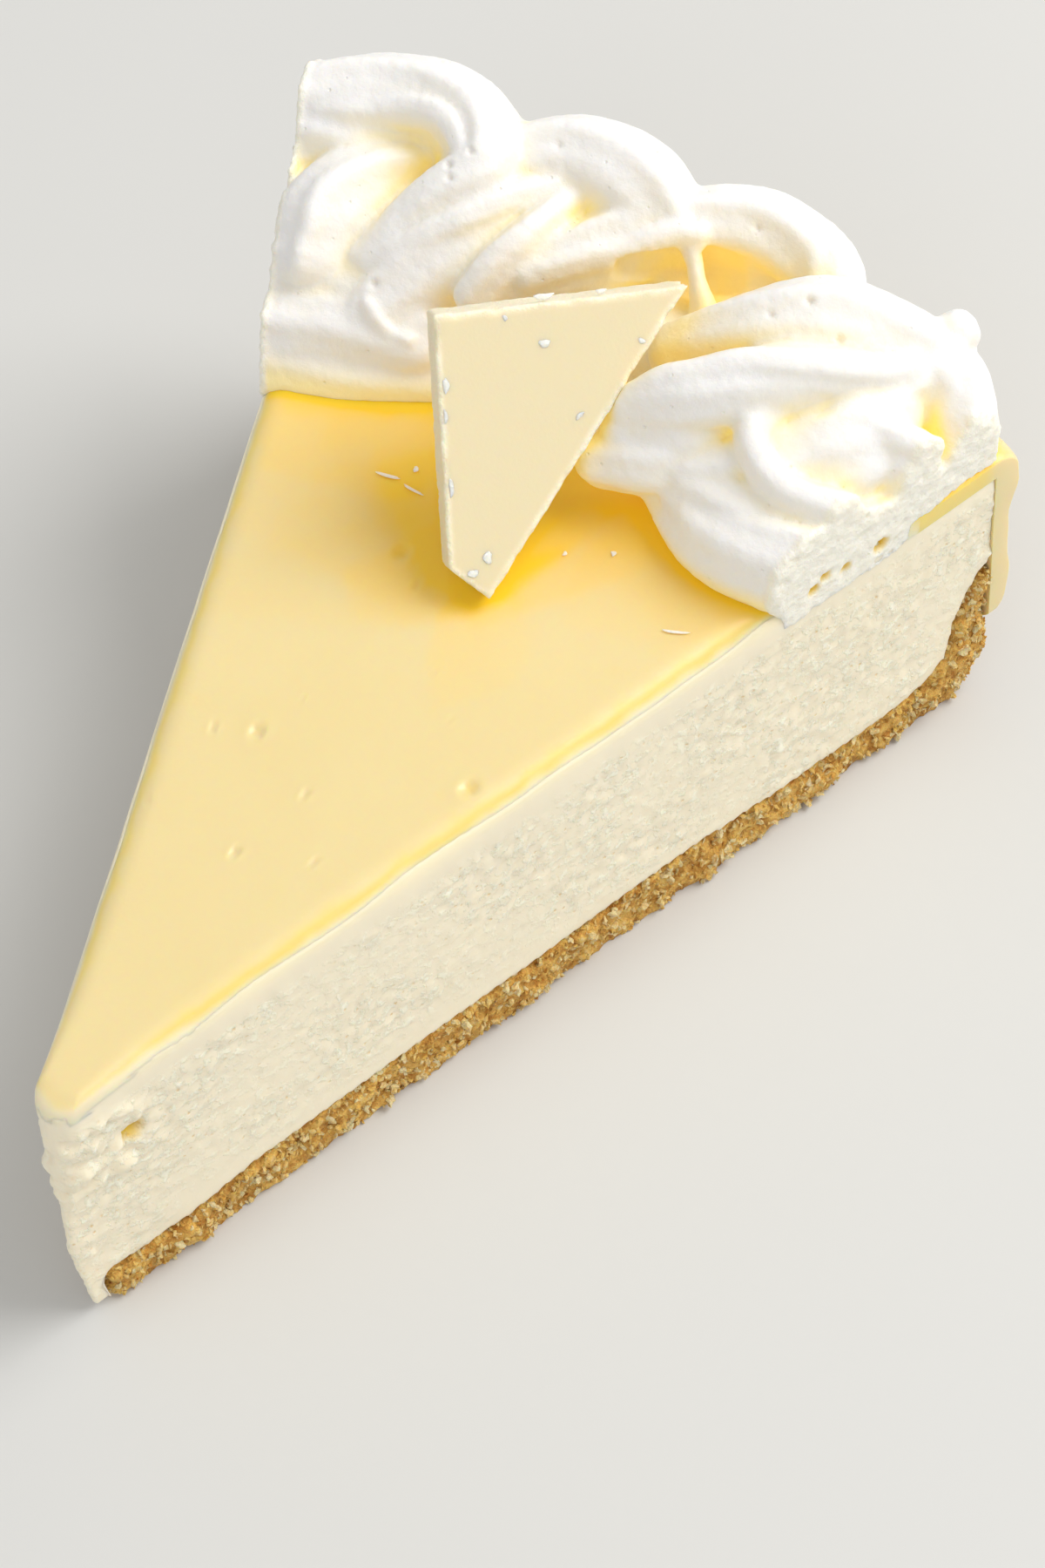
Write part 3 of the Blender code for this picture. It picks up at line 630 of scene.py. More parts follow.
def drip_length(degrees):
    """How far the ganache hangs below its top at these places on the rim."""
    length = DRIP_HEM + 0.8 * uneven(np.stack([degrees, 0 * degrees, 0 * degrees], axis=1), 3.0, 4.0)
    for centre, half_width, reach in DRIPS:
        part = np.clip(1.0 - (np.abs(degrees - centre) / half_width) ** DRIP_ROUNDNESS, 0.0, 1.0)
        length = np.maximum(length, DRIP_HEM + (reach - DRIP_HEM) * np.sqrt(part))
    return length


# %% Bubbles that burst in the icing
# x and y in mm from the cake's middle, and radius
ICING_PITS = [(46.2, 5.8, 0.85), (50.9, -14.6, 0.95), (44.5, 9.6, 0.5), (42.8, -1.9, 0.5),
              (35.1, 10.3, 0.45), (34.6, 0.2, 0.6), (37.3, -6.6, 0.45), (51.4, 4.2, 0.35),
              (69.4, 5.3, 0.9), (60.0, -4.9, 0.3), (67.0, 2.0, 0.5), (56.0, -9.0, 0.35)]


def icing_relief(x, y):
    """Height of the icing's small relief: slow waves and burst bubbles."""
    flat = np.stack([x.ravel(), y.ravel(), 0.0 * x.ravel()], axis=1)
    relief = 0.10 * uneven(flat, 16.0, 21.0) + 0.03 * uneven(flat, 5.0, 22.0)
    relief = relief.reshape(x.shape)
    for pit_x, pit_y, radius in ICING_PITS:
        away = np.hypot(x - pit_x, y - pit_y) / radius
        rim = np.exp(-((away - 1.35) / 0.45) ** 2)
        relief += 0.06 * rim - 0.34 * radius * fade(0.35, 1.15, away)
    return relief


# %% Rows of the icing's top
ICING_THICK = 2.7
SEAT = 0.1
ROW_STEP = 0.55
COLUMNS = 150
CUT_FROM_RIM = 103.5
SHOULDER_AT_RIM = 0.3
PROUD_AT_RIM = 0.12
# Distances from an edge, close together where the shoulder bends
EDGE_ROWS = SHOULDER * (1.0 - np.cos(np.linspace(0.0, math.pi / 2.0, 13)))


def rounded_edge(distance):
    """Drop of the icing near its edge, a quarter of an oval SHOULDER wide."""
    inside = np.clip(distance / SHOULDER, 0.0, 1.0)
    return SHOULDER_DROP * (1.0 - np.sqrt(1.0 - (1.0 - inside) ** 2))


def row_across(reach):
    """Places across one row, how far each is from its cut, and how much of the shoulder is left."""
    half = max(reach, POINT_START + 1.0) * HALF_ANGLE
    shrink = min(1.0, SHOULDER_SHARE * half / SHOULDER)
    near_rim = soft_step(CUT_FROM_RIM - 4.0, CUT_FROM_RIM, reach)
    behind = BEHIND_CUT - (BEHIND_CUT + PROUD_AT_RIM) * near_rim
    shares = 0.5 * (EDGE_ROWS * shrink + behind) / half
    first = shares[-1]
    inner = np.linspace(0.0, 1.0, COLUMNS)[1:-1]
    across = np.concatenate([shares, first + (1.0 - 2.0 * first) * inner, 1.0 - shares[::-1]])
    inset = np.concatenate([EDGE_ROWS, np.full(len(inner), SHOULDER), EDGE_ROWS[::-1]])
    return across, inset, 1.0 - (1.0 - SHOULDER_AT_RIM) * near_rim


def flat_rows():
    """Rows of points over the slice: on the icing's top, and below it on the filling."""
    rows = np.arange(POINT_START + SHOULDER + ROW_STEP, CAKE_RADIUS - 0.3, ROW_STEP)
    tops, lows = [], []
    for reach in np.concatenate([POINT_START + EDGE_ROWS, rows]):
        across, inset, full = row_across(reach)
        drop = np.maximum(full * rounded_edge(inset), rounded_edge(reach - POINT_START))
        x, y = plan_point(np.full(len(across), reach), across)
        high = ICING_TOP - drop + icing_relief(x, y) * soft_step(0.0, SHOULDER, inset)
        tops.append(np.stack([x, y, high], axis=1))
        lows.append(np.stack([x, y, np.full(len(x), FILLING_TOP + SEAT)], axis=1))
    return tops, lows


# %% Rows down the rim
DRIP_SEAT = 0.3
TURN_RADIUS = 0.6
TURN_HEIGHT = FILLING_TOP + SEAT - TURN_RADIUS
TURN_ROWS = 10
DRIP_ROWS = 34
DRIP_UNEVEN = 0.35


def arc(radius, angle, height):
    """Points around the cake's middle, one for each angle."""
    return np.stack([radius * np.cos(angle), radius * np.sin(angle), height + 0.0 * angle], axis=1)


def rim_rows():
    """Rows that turn over the rim and run down to the ends of the drips."""
    across, inset, _ = row_across(CAKE_RADIUS)
    angle = (2.0 * across - 1.0) * HALF_ANGLE
    edge_drop = SHOULDER_AT_RIM * rounded_edge(inset)
    tops, lows = [], []
    for turn in np.linspace(0.0, math.pi / 2.0, TURN_ROWS):
        thick = ICING_THICK + 0.2 - 0.8 * edge_drop
        radius = CAKE_RADIUS - 0.5 + (TURN_RADIUS + thick) * math.sin(turn)
        high = TURN_HEIGHT + (TURN_RADIUS + thick) * math.cos(turn)
        tops.append(arc(radius, angle, np.minimum(high, ICING_TOP - edge_drop)))
        lows.append(arc(CAKE_RADIUS - DRIP_SEAT, angle, TURN_HEIGHT + TURN_RADIUS * math.cos(turn)))
    end = np.minimum(ICING_TOP - drip_length(np.degrees(angle)), TURN_HEIGHT - 1.2)
    for share in np.sin(np.linspace(0.0, math.pi / 2.0, DRIP_ROWS))[1:]:
        high = TURN_HEIGHT + (end - TURN_HEIGHT) * share
        thick = ICING_THICK + (DRIP_THICK - ICING_THICK) * min(1.0, share * 2.0)
        along = np.stack([CAKE_RADIUS * angle, 0.0 * angle, high], axis=1)
        thick = thick * (1.0 + DRIP_UNEVEN * uneven(along, 4.5, 24.0))
        tail = np.clip(1.0 - (DRIP_THICK - (high - end)) / DRIP_THICK, 0.0, 1.0)
        swell = np.sqrt(1.0 - (1.0 - tail) ** 2)
        radius = CAKE_RADIUS + 0.1 + np.maximum(0.3, (thick + 0.2 - 0.8 * edge_drop) * (0.25 + 0.75 * swell))
        tops.append(arc(radius, angle, high))
        lows.append(arc(CAKE_RADIUS - DRIP_SEAT, angle, high))
    return tops, lows


# %% Sew the sheets together
def sewn(name, top, low):
    """Closed body between two grids of points."""
    rows, columns = top.shape[:2]
    count = rows * columns
    index = np.arange(count).reshape(rows, columns)
    faces = []
    for shift, flip in ((0, False), (count, True)):
        corners = np.stack([index[:-1, :-1], index[1:, :-1], index[1:, 1:], index[:-1, 1:]], axis=-1) + shift
        corners = corners.reshape(-1, 4)
        faces += (corners[:, ::-1] if flip else corners).tolist()
    border = np.concatenate([index[0, :-1], index[:-1, -1], index[-1, :0:-1], index[:0:-1, 0]])
    after = np.roll(border, -1)
    faces += np.stack([border, after, after + count, border + count], axis=1).tolist()
    points = np.concatenate([top.reshape(-1, 3), low.reshape(-1, 3)])
    piece = new_piece(name, points, faces)
    print(name, len(faces), "faces")
    return piece


flat, down = flat_rows(), rim_rows()
ganache = sewn("ganache_sheet", np.array(flat[0] + down[0]), np.array(flat[1] + down[1]))


# %% Painted shades along the icing's cut, and where the knife thinned it
# The icing's painted shade is stronger towards the left of the slice and weaker to the right: by this share,
# in full at this y
LEFT_SHADE_GAIN = 0.42
LEFT_FULL = 9.0


def thin_icing(piece):
    """Masks for the golden line along the cut, a painted shade where the shoulder turns down; for the
    painted shade's gain to the left; and for the filling smeared over it.
    """
    points = read_points(piece)
    reach = np.hypot(points[:, 0], points[:, 1])
    on_top = fade(CAKE_RADIUS - 2.0, CAKE_RADIUS, reach)
    drop = ICING_TOP - points[:, 2] + 0.25 * uneven(points, 2.5, 23.0)
    at_point = fade(8.0, 22.0, points[:, 0])
    write_mask(piece, "left_shade_gain", 1.0 + LEFT_SHADE_GAIN * np.clip(points[:, 1] / LEFT_FULL, -1.0, 1.0))
    write_mask(piece, "golden", on_top * soft_step(0.1, 0.6, drop))
    write_mask(piece, "smeared", (reach < LIFT_END - 1.5) * soft_step(0.55, 1.4, drop + 0.5 * at_point))


thin_icing(ganache)

# %% Ganache material
ICING_COLOUR = (0.785, 0.645, 0.315)
ICING_PALE = (0.80, 0.67, 0.355)
# Painted shades: golden where the shoulder turns down at the cut, and deep gold where the icing is closed in
# or lies in the large light's shadow.
ICING_SHOULDER_SHADE = (0.83, 0.65, 0.19)
ICING_SHADE = (1.0, 0.62, 0.02)
SHADE_STRENGTH = 3.1


def ganache_material():
    tint = (1.0, 0.62, 0.18)
    material, tree, shader = soft_food("white_chocolate_ganache_look", ICING_COLOUR, 0.33, 0.7, 1.3, tint)
    shader.inputs["Coat Weight"].default_value = 0.15
    shader.inputs["Coat Roughness"].default_value = 0.25
    # The closed-in mask, made stronger to the left, paints shade and cast shadow into the icing.
    shade = calculate(tree, "MULTIPLY", read_mask(tree, "shade"), read_mask(tree, "left_shade_gain"))
    body = mix_colour(tree, grain(tree, 14.0, 1.2), ICING_COLOUR, ICING_PALE)
    body = mix_colour(tree, read_mask(tree, "golden"), body, ICING_SHOULDER_SHADE)
    body = mix_colour(tree, calculate(tree, "MULTIPLY", shade, SHADE_STRENGTH), body, ICING_SHADE)
    body = mix_colour(tree, read_mask(tree, "smeared"), body, ICED_IVORY)
    tree.links.new(body, shader.inputs["Base Color"])
    faint = calculate(tree, "MULTIPLY", grain(tree, 0.9, 1.0), 0.15)
    raise_surface(tree, shader, calculate(tree, "SUBTRACT", faint, air_pits(tree, 7.0, 0.22, 0.3)), 0.12)
    return material


dress(ganache, ganache_material())
ganache.data.set_sharp_from_angle(angle=math.radians(50.0))

# %% [markdown]
# ## The whipped cream
# A star tip leaves ridges, and every swirl folds them over each other. Each ridge is a strand
# through a few places, thick where the bag was pressed and thin where it was let go. The
# strands overlap, so a voxel remesh can melt them into one body: it keeps the creases but
# leaves no seams. The knife then cuts it flush with the slice.

# %% Ridges of the piping
# Each place is a radius, degrees across the slice, height above the icing and half width.
CREAM_RIDGES = {
    "left_outer": [(109.0, 21.2, 12.5, 4.2), (110.8, 15.1, 14.5, 4.3), (109.0, 10.8, 15.5, 4.4),
                   (104.2, 8.6, 15.0, 4.2), (99.9, 10.9, 12.8, 3.4), (94.8, 14.2, 9.2, 1.7)],
    "left_inner": [(106.2, 12.6, 10.0, 3.4), (102.8, 15.2, 10.0, 5.0), (98.8, 17.0, 9.3, 5.4),
                   (95.4, 17.4, 7.8, 4.6)],
    "left_side": [(107.4, 20.9, 12.2, 2.8), (103.4, 21.0, 11.0, 3.1), (99.6, 21.0, 8.6, 3.0)],
    "left_ramp": [(107.2, 20.6, 11.0, 3.4), (106.4, 17.4, 11.6, 3.7), (106.4, 14.2, 11.2, 3.2)],
    "left_front": [(107.1, 4.6, 12.0, 2.8), (102.3, 6.8, 12.0, 3.6), (98.0, 9.2, 10.2, 4.2),
                   (92.6, 12.4, 5.4, 4.4), (90.2, 13.4, 2.6, 3.8)],
    "left_edge": [(109.4, 20.6, 7.0, 3.6), (103.6, 19.8, 6.4, 3.4), (99.6, 19.4, 4.6, 2.8)],
    "left_recess": [(93.6, 19.6, 4.4, 3.6), (93.6, 15.2, 5.4, 3.8), (92.4, 11.8, 6.0, 3.4)],
    "left_under": [(89.6, 20.4, 2.6, 3.8), (90.2, 14.8, 3.4, 4.2), (90.8, 10.4, 3.6, 4.0)],
    "left_skirt": [(87.2, 21.0, 0.0, 3.0), (87.0, 14.4, 0.2, 3.0), (89.0, 9.0, 0.2, 2.9)],
    "middle_outer": [(104.0, 9.8, 11.5, 4.2), (108.6, 5.6, 13.8, 4.8), (109.0, 1.4, 14.2, 4.8),
                     (107.4, -2.0, 11.0, 4.2)],
    "middle_thin": [(93.8, 6.9, 9.6, 2.2), (96.3, 6.0, 11.9, 2.3), (98.7, 5.1, 13.4, 2.0),
                    (102.4, 4.3, 14.3, 1.6), (104.6, 3.8, 14.4, 1.2)],
    "middle_crest": [(95.6, 6.3, 9.6, 2.2), (99.8, 3.2, 10.6, 3.2), (104.6, 0.6, 11.8, 3.6),
                     (109.4, -2.6, 12.8, 3.5), (112.2, -5.6, 12.6, 3.8), (112.0, -8.6, 11.0, 3.8),
                     (108.6, -10.2, 8.6, 3.6)],
    "right_outer": [(97.2, -5.6, 9.6, 3.2), (101.7, -9.3, 13.0, 4.3), (106.0, -12.0, 14.2, 4.5),
                    (109.7, -15.0, 12.0, 4.0)],
    "right_crest": [(88.6, -6.0, 11.2, 2.2), (92.2, -9.6, 13.8, 2.9), (99.2, -13.0, 14.6, 3.1),
                    (107.6, -16.4, 11.8, 2.1)],
    "right_face": [(87.4, -6.2, 8.6, 2.4), (90.4, -9.2, 10.0, 2.8), (93.6, -10.4, 10.4, 2.2)],
    "right_low": [(84.9, -5.2, 6.2, 2.4), (88.2, -8.7, 7.2, 3.1), (94.4, -10.0, 7.4, 2.6)],
    "right_curl": [(100.8, -12.8, 9.6, 2.2), (96.2, -12.2, 9.8, 2.4), (93.0, -13.2, 8.8, 2.4),
                   (92.8, -16.2, 7.4, 2.5), (95.6, -20.8, 5.6, 2.6)],
    "right_heart": [(95.4, -15.4, 8.2, 3.8), (99.6, -16.4, 9.0, 4.4), (104.4, -16.0, 9.6, 4.2)],
    "right_spur": [(101.4, -15.2, 10.4, 2.4), (102.8, -17.4, 8.6, 2.9), (104.4, -20.4, 0.8, 3.0)],
    "right_side": [(108.6, -15.0, 10.6, 3.6), (111.4, -17.0, 8.8, 4.0), (109.6, -19.6, 1.8, 3.6)],
    "right_foot": [(88.2, -9.4, 2.8, 3.0), (86.8, -13.6, 3.2, 3.9), (88.8, -17.6, 3.8, 4.4),
                   (93.0, -21.6, 4.4, 4.4)],
    "right_bead": [(112.4, -15.6, 11.0, 2.3), (114.2, -16.1, 12.4, 1.9)],
    "left_lip": [(107.6, 20.4, 13.6, 1.5), (107.1, 17.4, 15.0, 1.6), (107.4, 15.6, 15.5, 1.6),
                 (107.6, 13.7, 16.6, 1.6), (107.1, 12.1, 17.4, 1.6), (106.0, 10.9, 17.6, 1.6),
                 (104.0, 9.9, 17.3, 1.4)],
    "left_crest": [(104.9, 4.7, 14.9, 1.4), (102.2, 6.5, 14.8, 1.6), (99.2, 8.1, 14.5, 1.6),
                   (97.1, 9.8, 13.3, 1.6), (95.7, 11.1, 12.0, 1.6), (94.8, 12.3, 10.8, 1.5),
                   (94.0, 13.7, 9.6, 1.2)],
    "left_string": [(89.9, 12.9, 8.6, 0.6), (89.0, 12.0, 7.4, 0.65), (88.7, 11.2, 6.5, 0.6),
                    (88.6, 10.0, 6.3, 0.7)],
    "middle_blade": [(96.3, 4.2, 11.3, 1.3), (98.1, 2.8, 12.2, 1.4), (100.3, 1.3, 12.9, 1.4),
                     (102.2, -0.2, 13.1, 1.4), (105.1, -1.7, 14.2, 1.4), (106.7, -3.0, 14.1, 1.3)],
    "right_blade": [(88.9, -6.2, 12.6, 1.3), (90.7, -7.6, 14.6, 1.5), (92.6, -9.2, 15.8, 1.5),
                    (95.3, -11.0, 16.8, 1.6), (97.9, -12.8, 17.0, 1.6), (101.5, -14.6, 16.0, 1.6),
                    (104.8, -15.8, 14.4, 1.5), (107.7, -16.4, 13.4, 1.3)],
    "right_curl_crest": [(95.8, -13.0, 12.7, 1.4), (93.4, -12.9, 12.4, 1.6), (92.0, -13.9, 11.2, 1.7),
                         (91.5, -15.7, 10.1, 1.7), (92.5, -17.6, 9.4, 1.7), (94.7, -19.6, 8.7, 1.7),
                         (96.0, -21.0, 8.0, 1.6)],
    "right_fill": [(88.6, -10.5, 6.5, 2.6), (90.8, -12.3, 7.6, 2.6), (93.8, -14.0, 8.8, 2.7),
                   (96.4, -14.8, 9.6, 2.6), (99.2, -15.0, 10.4, 2.4)],
    "right_foot_back": [(88.0, -11.0, 5.0, 3.0), (89.0, -14.0, 5.4, 3.4), (91.6, -17.5, 5.4, 3.4)],
    "right_spur_crest": [(100.1, -15.9, 12.4, 1.2), (101.2, -17.2, 12.0, 1.4), (102.8, -18.3, 10.9, 1.4),
                         (104.6, -19.3, 9.0, 1.5), (106.0, -21.0, 7.0, 1.5)],
    "bed": [(98.5, 14.0, -1.0, 8.0), (100.0, 8.0, -1.5, 10.5), (100.0, 0.0, -2.0, 10.5),
            (98.5, -10.0, -2.0, 10.0), (95.5, -21.5, -2.5, 9.0)],
    "bed_rim": [(107.5, 20.6, -0.5, 5.5), (108.5, 8.0, 3.5, 6.0), (108.5, -4.0, 3.0, 6.0),
                (107.0, -13.0, 3.0, 6.0), (106.5, -19.0, -2.0, 5.0)],
}
CREAM_FOLD = [(101.4, -0.6, 12.0, 1.5), (104.6, -2.6, 11.2, 2.4), (106.6, -4.2, 10.8, 2.2),
              (107.2, -5.6, 11.2, 1.5)]
# A thread of cream that spans the deepest fold
CREAM_THREAD = [(106.8, -2.0, 14.4, 1.5), (105.4, -3.2, 12.4, 0.9), (104.2, -3.9, 10.6, 0.9),
                (103.0, -4.8, 8.4, 1.4)]
RIDGE_DROP = 1.7
RIDGE_CREST = 0.3
RIDGE_SIDES = 28
FLUTES = 6
FLUTE_DEPTH = 0.06
FLUTE_TWIST = 0.12
RIDGE_SPACING = 0.7


# %% Sweep a strand
def strand_path(places):
    """Evenly spaced (x, y, z, half width) on the smooth curve through the given places."""
    points = []
    for radius, degrees, height, half in places:
        points.append(Vector((*on_cake(radius, degrees, ICING_TOP + height), half)))
    ends = [points[0] * 2.0 - points[1]] + points + [points[-1] * 2.0 - points[-2]]
    path = []
    for a, b, c, d in zip(ends, ends[1:], ends[2:], ends[3:]):
        steps = max(2, round((c - b).length / RIDGE_SPACING))
        for step in range(steps):
            t = step / steps
            path.append(0.5 * (2.0 * b + (c - a) * t + (2.0 * a - 5.0 * b + 4.0 * c - d) * t * t
                               + (3.0 * b - a - 3.0 * c + d) * t * t * t))
    path.append(points[-1])
    return path


def strand_mesh(places):
    """Points and faces of a strand with round ends and a lower half that reaches down."""
    path = strand_path(places)
    rings = []
    for i, place in enumerate(path):
        along = (path[min(i + 1, len(path) - 1)] - path[max(i - 1, 0)]).xyz.normalized()
        side = along.cross(Vector((0.0, 0.0, 1.0))).normalized()
        rings.append((place.xyz, along, side, side.cross(along), place.w))

    def cap(ring, way, turns):
        middle, along, side, up, half = ring
        return [(middle + along * (way * half) * math.sin(turn), side, up, half * math.cos(turn))
                for turn in turns]

    capped = cap(rings[0], -1.0, np.linspace(math.pi / 2.0, 0.0, 6)[1:-1])
    capped += [(middle, side, up, half) for middle, _, side, up, half in rings]
    capped += cap(rings[-1], 1.0, np.linspace(0.0, math.pi / 2.0, 6)[1:-1])
    points = []
    for ring, (middle, side, up, half) in enumerate(capped):
        for s in range(RIDGE_SIDES):
            turn = math.tau * (s + 0.5) / RIDGE_SIDES
            flute = half * (1.0 + FLUTE_DEPTH * math.cos(FLUTES * turn + FLUTE_TWIST * ring))
            lift = math.sin(turn)
            wide = math.cos(turn) * (1.0 - RIDGE_CREST * max(lift, 0.0))
            tall = lift * RIDGE_DROP if lift < 0.0 else lift
            points.append(middle + side * flute * wide + up * flute * tall)
    points.append(rings[0][0] - rings[0][1] * rings[0][4])
    points.append(rings[-1][0] + rings[-1][1] * rings[-1][4])
    end = (len(capped) - 1) * RIDGE_SIDES
    faces = []
    for s in range(RIDGE_SIDES):
        t = (s + 1) % RIDGE_SIDES
        faces += [[low + s, low + RIDGE_SIDES + s, low + RIDGE_SIDES + t, low + t]
                  for low in range(0, end, RIDGE_SIDES)]
        faces += [[len(points) - 2, s, t], [len(points) - 1, end + t, end + s]]
    return points, faces


# %% Melt the strands into one body
CREAM_FACE = 0.35
cream = joined("piped_cream", [strand_mesh(places) for places in CREAM_RIDGES.values()])
baked(cream, "REMESH", mode="VOXEL", voxel_size=CREAM_FACE * MM)
print("cream", len(cream.data.polygons), "faces before the cut")

# %% The piece of chocolate in outline
SHARD_OUTLINE = [(0.0, 0.0), (23.9, 0.0), (2.8, -27.1), (-0.8, -23.7)]
SHARD_CORNER = Vector((81.3, 6.9, ICING_TOP + 21.9))
SHARD_ALONG = Vector((0.686, -0.715, -0.134)).normalized()
SHARD_FACING = Vector((-0.470, -0.575, 0.669)).normalized()
SHARD_UP = SHARD_FACING.cross(SHARD_ALONG)
SHARD_THICK = 4.3
CORNER_GROW = 1.8


def shard_block(name, grow):
    """The broken piece as a plain prism, grown on all sides."""
    middle = Vector((sum(a for a, _ in SHARD_OUTLINE) / 4.0, sum(b for _, b in SHARD_OUTLINE) / 4.0))
    points = []
    for depth in (grow, -SHARD_THICK - grow):
        for along, rise in SHARD_OUTLINE:
            away = (Vector((along, rise)) - middle).normalized() * grow * CORNER_GROW
            place = SHARD_CORNER + SHARD_ALONG * (along + away.x) + SHARD_UP * (rise + away.y)
            points.append(tuple(place + SHARD_FACING * depth))
    faces = [[0, 1, 2, 3], [7, 6, 5, 4]] + [[i, i + 4, (i + 1) % 4 + 4, (i + 1) % 4] for i in range(4)]
    return joined(name, [(points, faces)])


# %% Cut the cream
CREAM_FOOT = 34.2
CREAM_FOOT_RIM = 37.6


def knife():
    """Wedge whose foot reaches into the icing's shoulder, except near the rim."""
    section = [(60.0, CREAM_FOOT), (CUT_FROM_RIM - 2.5, CREAM_FOOT), (CUT_FROM_RIM + 3.5, CREAM_FOOT_RIM),
               (135.0, CREAM_FOOT_RIM), (135.0, 90.0), (60.0, 90.0)]
    count = len(section)
    points = []
    for turn in (-HALF_ANGLE, HALF_ANGLE):
        points += [(radius * math.cos(turn), radius * math.sin(turn), height) for radius, height in section]
    faces = [list(range(count)), list(range(2 * count - 1, count - 1, -1))]
    faces += [[i, i + count, (i + 1) % count + count, (i + 1) % count] for i in range(count)]
    return joined("knife", [(points, faces)])


for cutter, operation in ((knife(), "INTERSECT"), (shard_block("room", 0.1), "DIFFERENCE"),
                          (joined("fold", [strand_mesh(CREAM_FOLD)]), "DIFFERENCE"),
                          (joined("thread", [strand_mesh(CREAM_THREAD)]), "UNION")):
    baked(cream, "BOOLEAN", operation=operation, object=cutter, solver="MANIFOLD")
    bpy.data.objects.remove(cutter)
baked(cream, "REMESH", mode="VOXEL", voxel_size=CREAM_FACE * MM)
baked(cream, "SMOOTH", factor=0.5, iterations=2)
print("cream", len(cream.data.polygons), "faces after the cut")


# %% Air bubbles of the cream
# Radius, degrees and height above the icing of each bubble that burst at the surface.
CREAM_BUBBLES = [(102.8, 9.1, 18.7), (101.4, 10.1, 17.6), (100.2, 9.8, 17.3), (104.2, 14.1, 8.9),
                 (99.4, 18.9, 9.4), (94.8, 12.2, 11.7), (105.8, 18.4, 14.0), (103.6, -13.7, 16.3),
                 (103.9, -11.5, 18.4), (101.0, -10.2, 17.4), (107.2, 16.9, 16.2), (102.3, 6.6, 15.8),
                 (96.6, 9.6, 14.0), (108.3, -13.4, 17.8), (107.0, 5.2, 18.2), (109.6, -5.6, 15.1),
                 (91.4, 12.8, 9.8), (100.7, 6.9, 15.4), (98.7, -18.0, 10.5)]
BUBBLE_RADIUS = 0.55
# Larger holes low in the cut face, through which the icing's shoulder shows
CUT_HOLES = [(98.8, -19.75, -0.6, 1.1), (94.5, -19.75, -0.3, 0.8), (92.0, -19.75, 0.6, 0.75),
             (90.6, -19.75, -0.3, 0.9)]


def dent(points, places):
    """How deep each point lies in the dents, 0 to their radius in mm."""
    depth = np.zeros(len(points))
    for radius, degrees, height, size in places:
        away = np.linalg.norm(points - np.array(on_cake(radius, degrees, ICING_TOP + height)), axis=1) / size
        depth += size * fade(0.3, 1.0, away)
    return depth


# %% Texture of the cream
# The icing throws a golden light on the foot of the cream, as far as this radius in mm.
FOOT_GOLD = 0.7
FOOT_END = 93.0
# Relief in mm: grain and slow waves on the piped skin, tears and pores on the cut
SKIN_GRAIN = 0.06
SKIN_WAVES = 0.10
CUT_TEARS = 0.16
PORE_DEPTH = 0.8
BUBBLE_DEPTH = 0.7
FULL_FOLD = 1.2


def whip(piece):
    points = read_points(piece)
    normals = read_normals(piece)
    cut = fade(0.35, 0.9, into_slice(points))
    fold = hollows(piece, 60)
    fine = uneven(points, 1.0, 31.0)
    slow = uneven(points, 3.2, 35.0)
    torn = uneven(points, 1.4, 32.0) + 0.7 * uneven(points, 0.7, 33.0)
    pores = np.clip(uneven(points, 1.2, 34.0) - 0.36, 0.0, 1.0)
    push = (SKIN_GRAIN * fine + SKIN_WAVES * slow) * (1.0 - cut)
    push += cut * (CUT_TEARS * torn - PORE_DEPTH * pores + 0.12)
    holes = dent(points, CUT_HOLES)
    bubbles = dent(points, [(*place, BUBBLE_RADIUS) for place in CREAM_BUBBLES])
    push -= PORE_DEPTH * holes + BUBBLE_DEPTH * bubbles
    points += normals * push[:, None]
    write_points(piece, points)
    reach = np.hypot(points[:, 0], points[:, 1])
    lit_from_icing = FOOT_GOLD * fade(0.8, 4.2, points[:, 2] - ICING_TOP) * (1.0 - cut)
    lit_from_icing *= fade(FOOT_END - 3.0, FOOT_END, reach)
    # The fold mask carries painted shade in the hollows and the icing's painted light on the foot.
    write_mask(piece, "fold", np.maximum(np.clip(fold / FULL_FOLD, 0.0, 1.0), lit_from_icing))
    write_mask(piece, "cut", cut)
    write_mask(piece, "hole", np.clip(1.6 * holes, 0.0, 1.0))
    print("deepest fold", round(float(fold.max()), 2), "mm")


whip(cream)

# %% Cream material
CREAM_COLOUR = (0.89, 0.878, 0.86)
# Painted golden shade in the folds and closed-in places; near the foot the same colour is the icing's light,
# painted.
CREAM_FOLD_SHADE = (1.0, 0.80, 0.32)
# Light that soaks through the cream and comes out golden where it folds in deepest
CREAM_GLOW = (0.28, 0.205, 0.05)
# The cut face lies in shade, so it is painted lighter and warmer than the piped skin.
CREAM_CUT_LIGHTENED = (0.95, 0.90, 0.79)
GOLD_START = 0.72


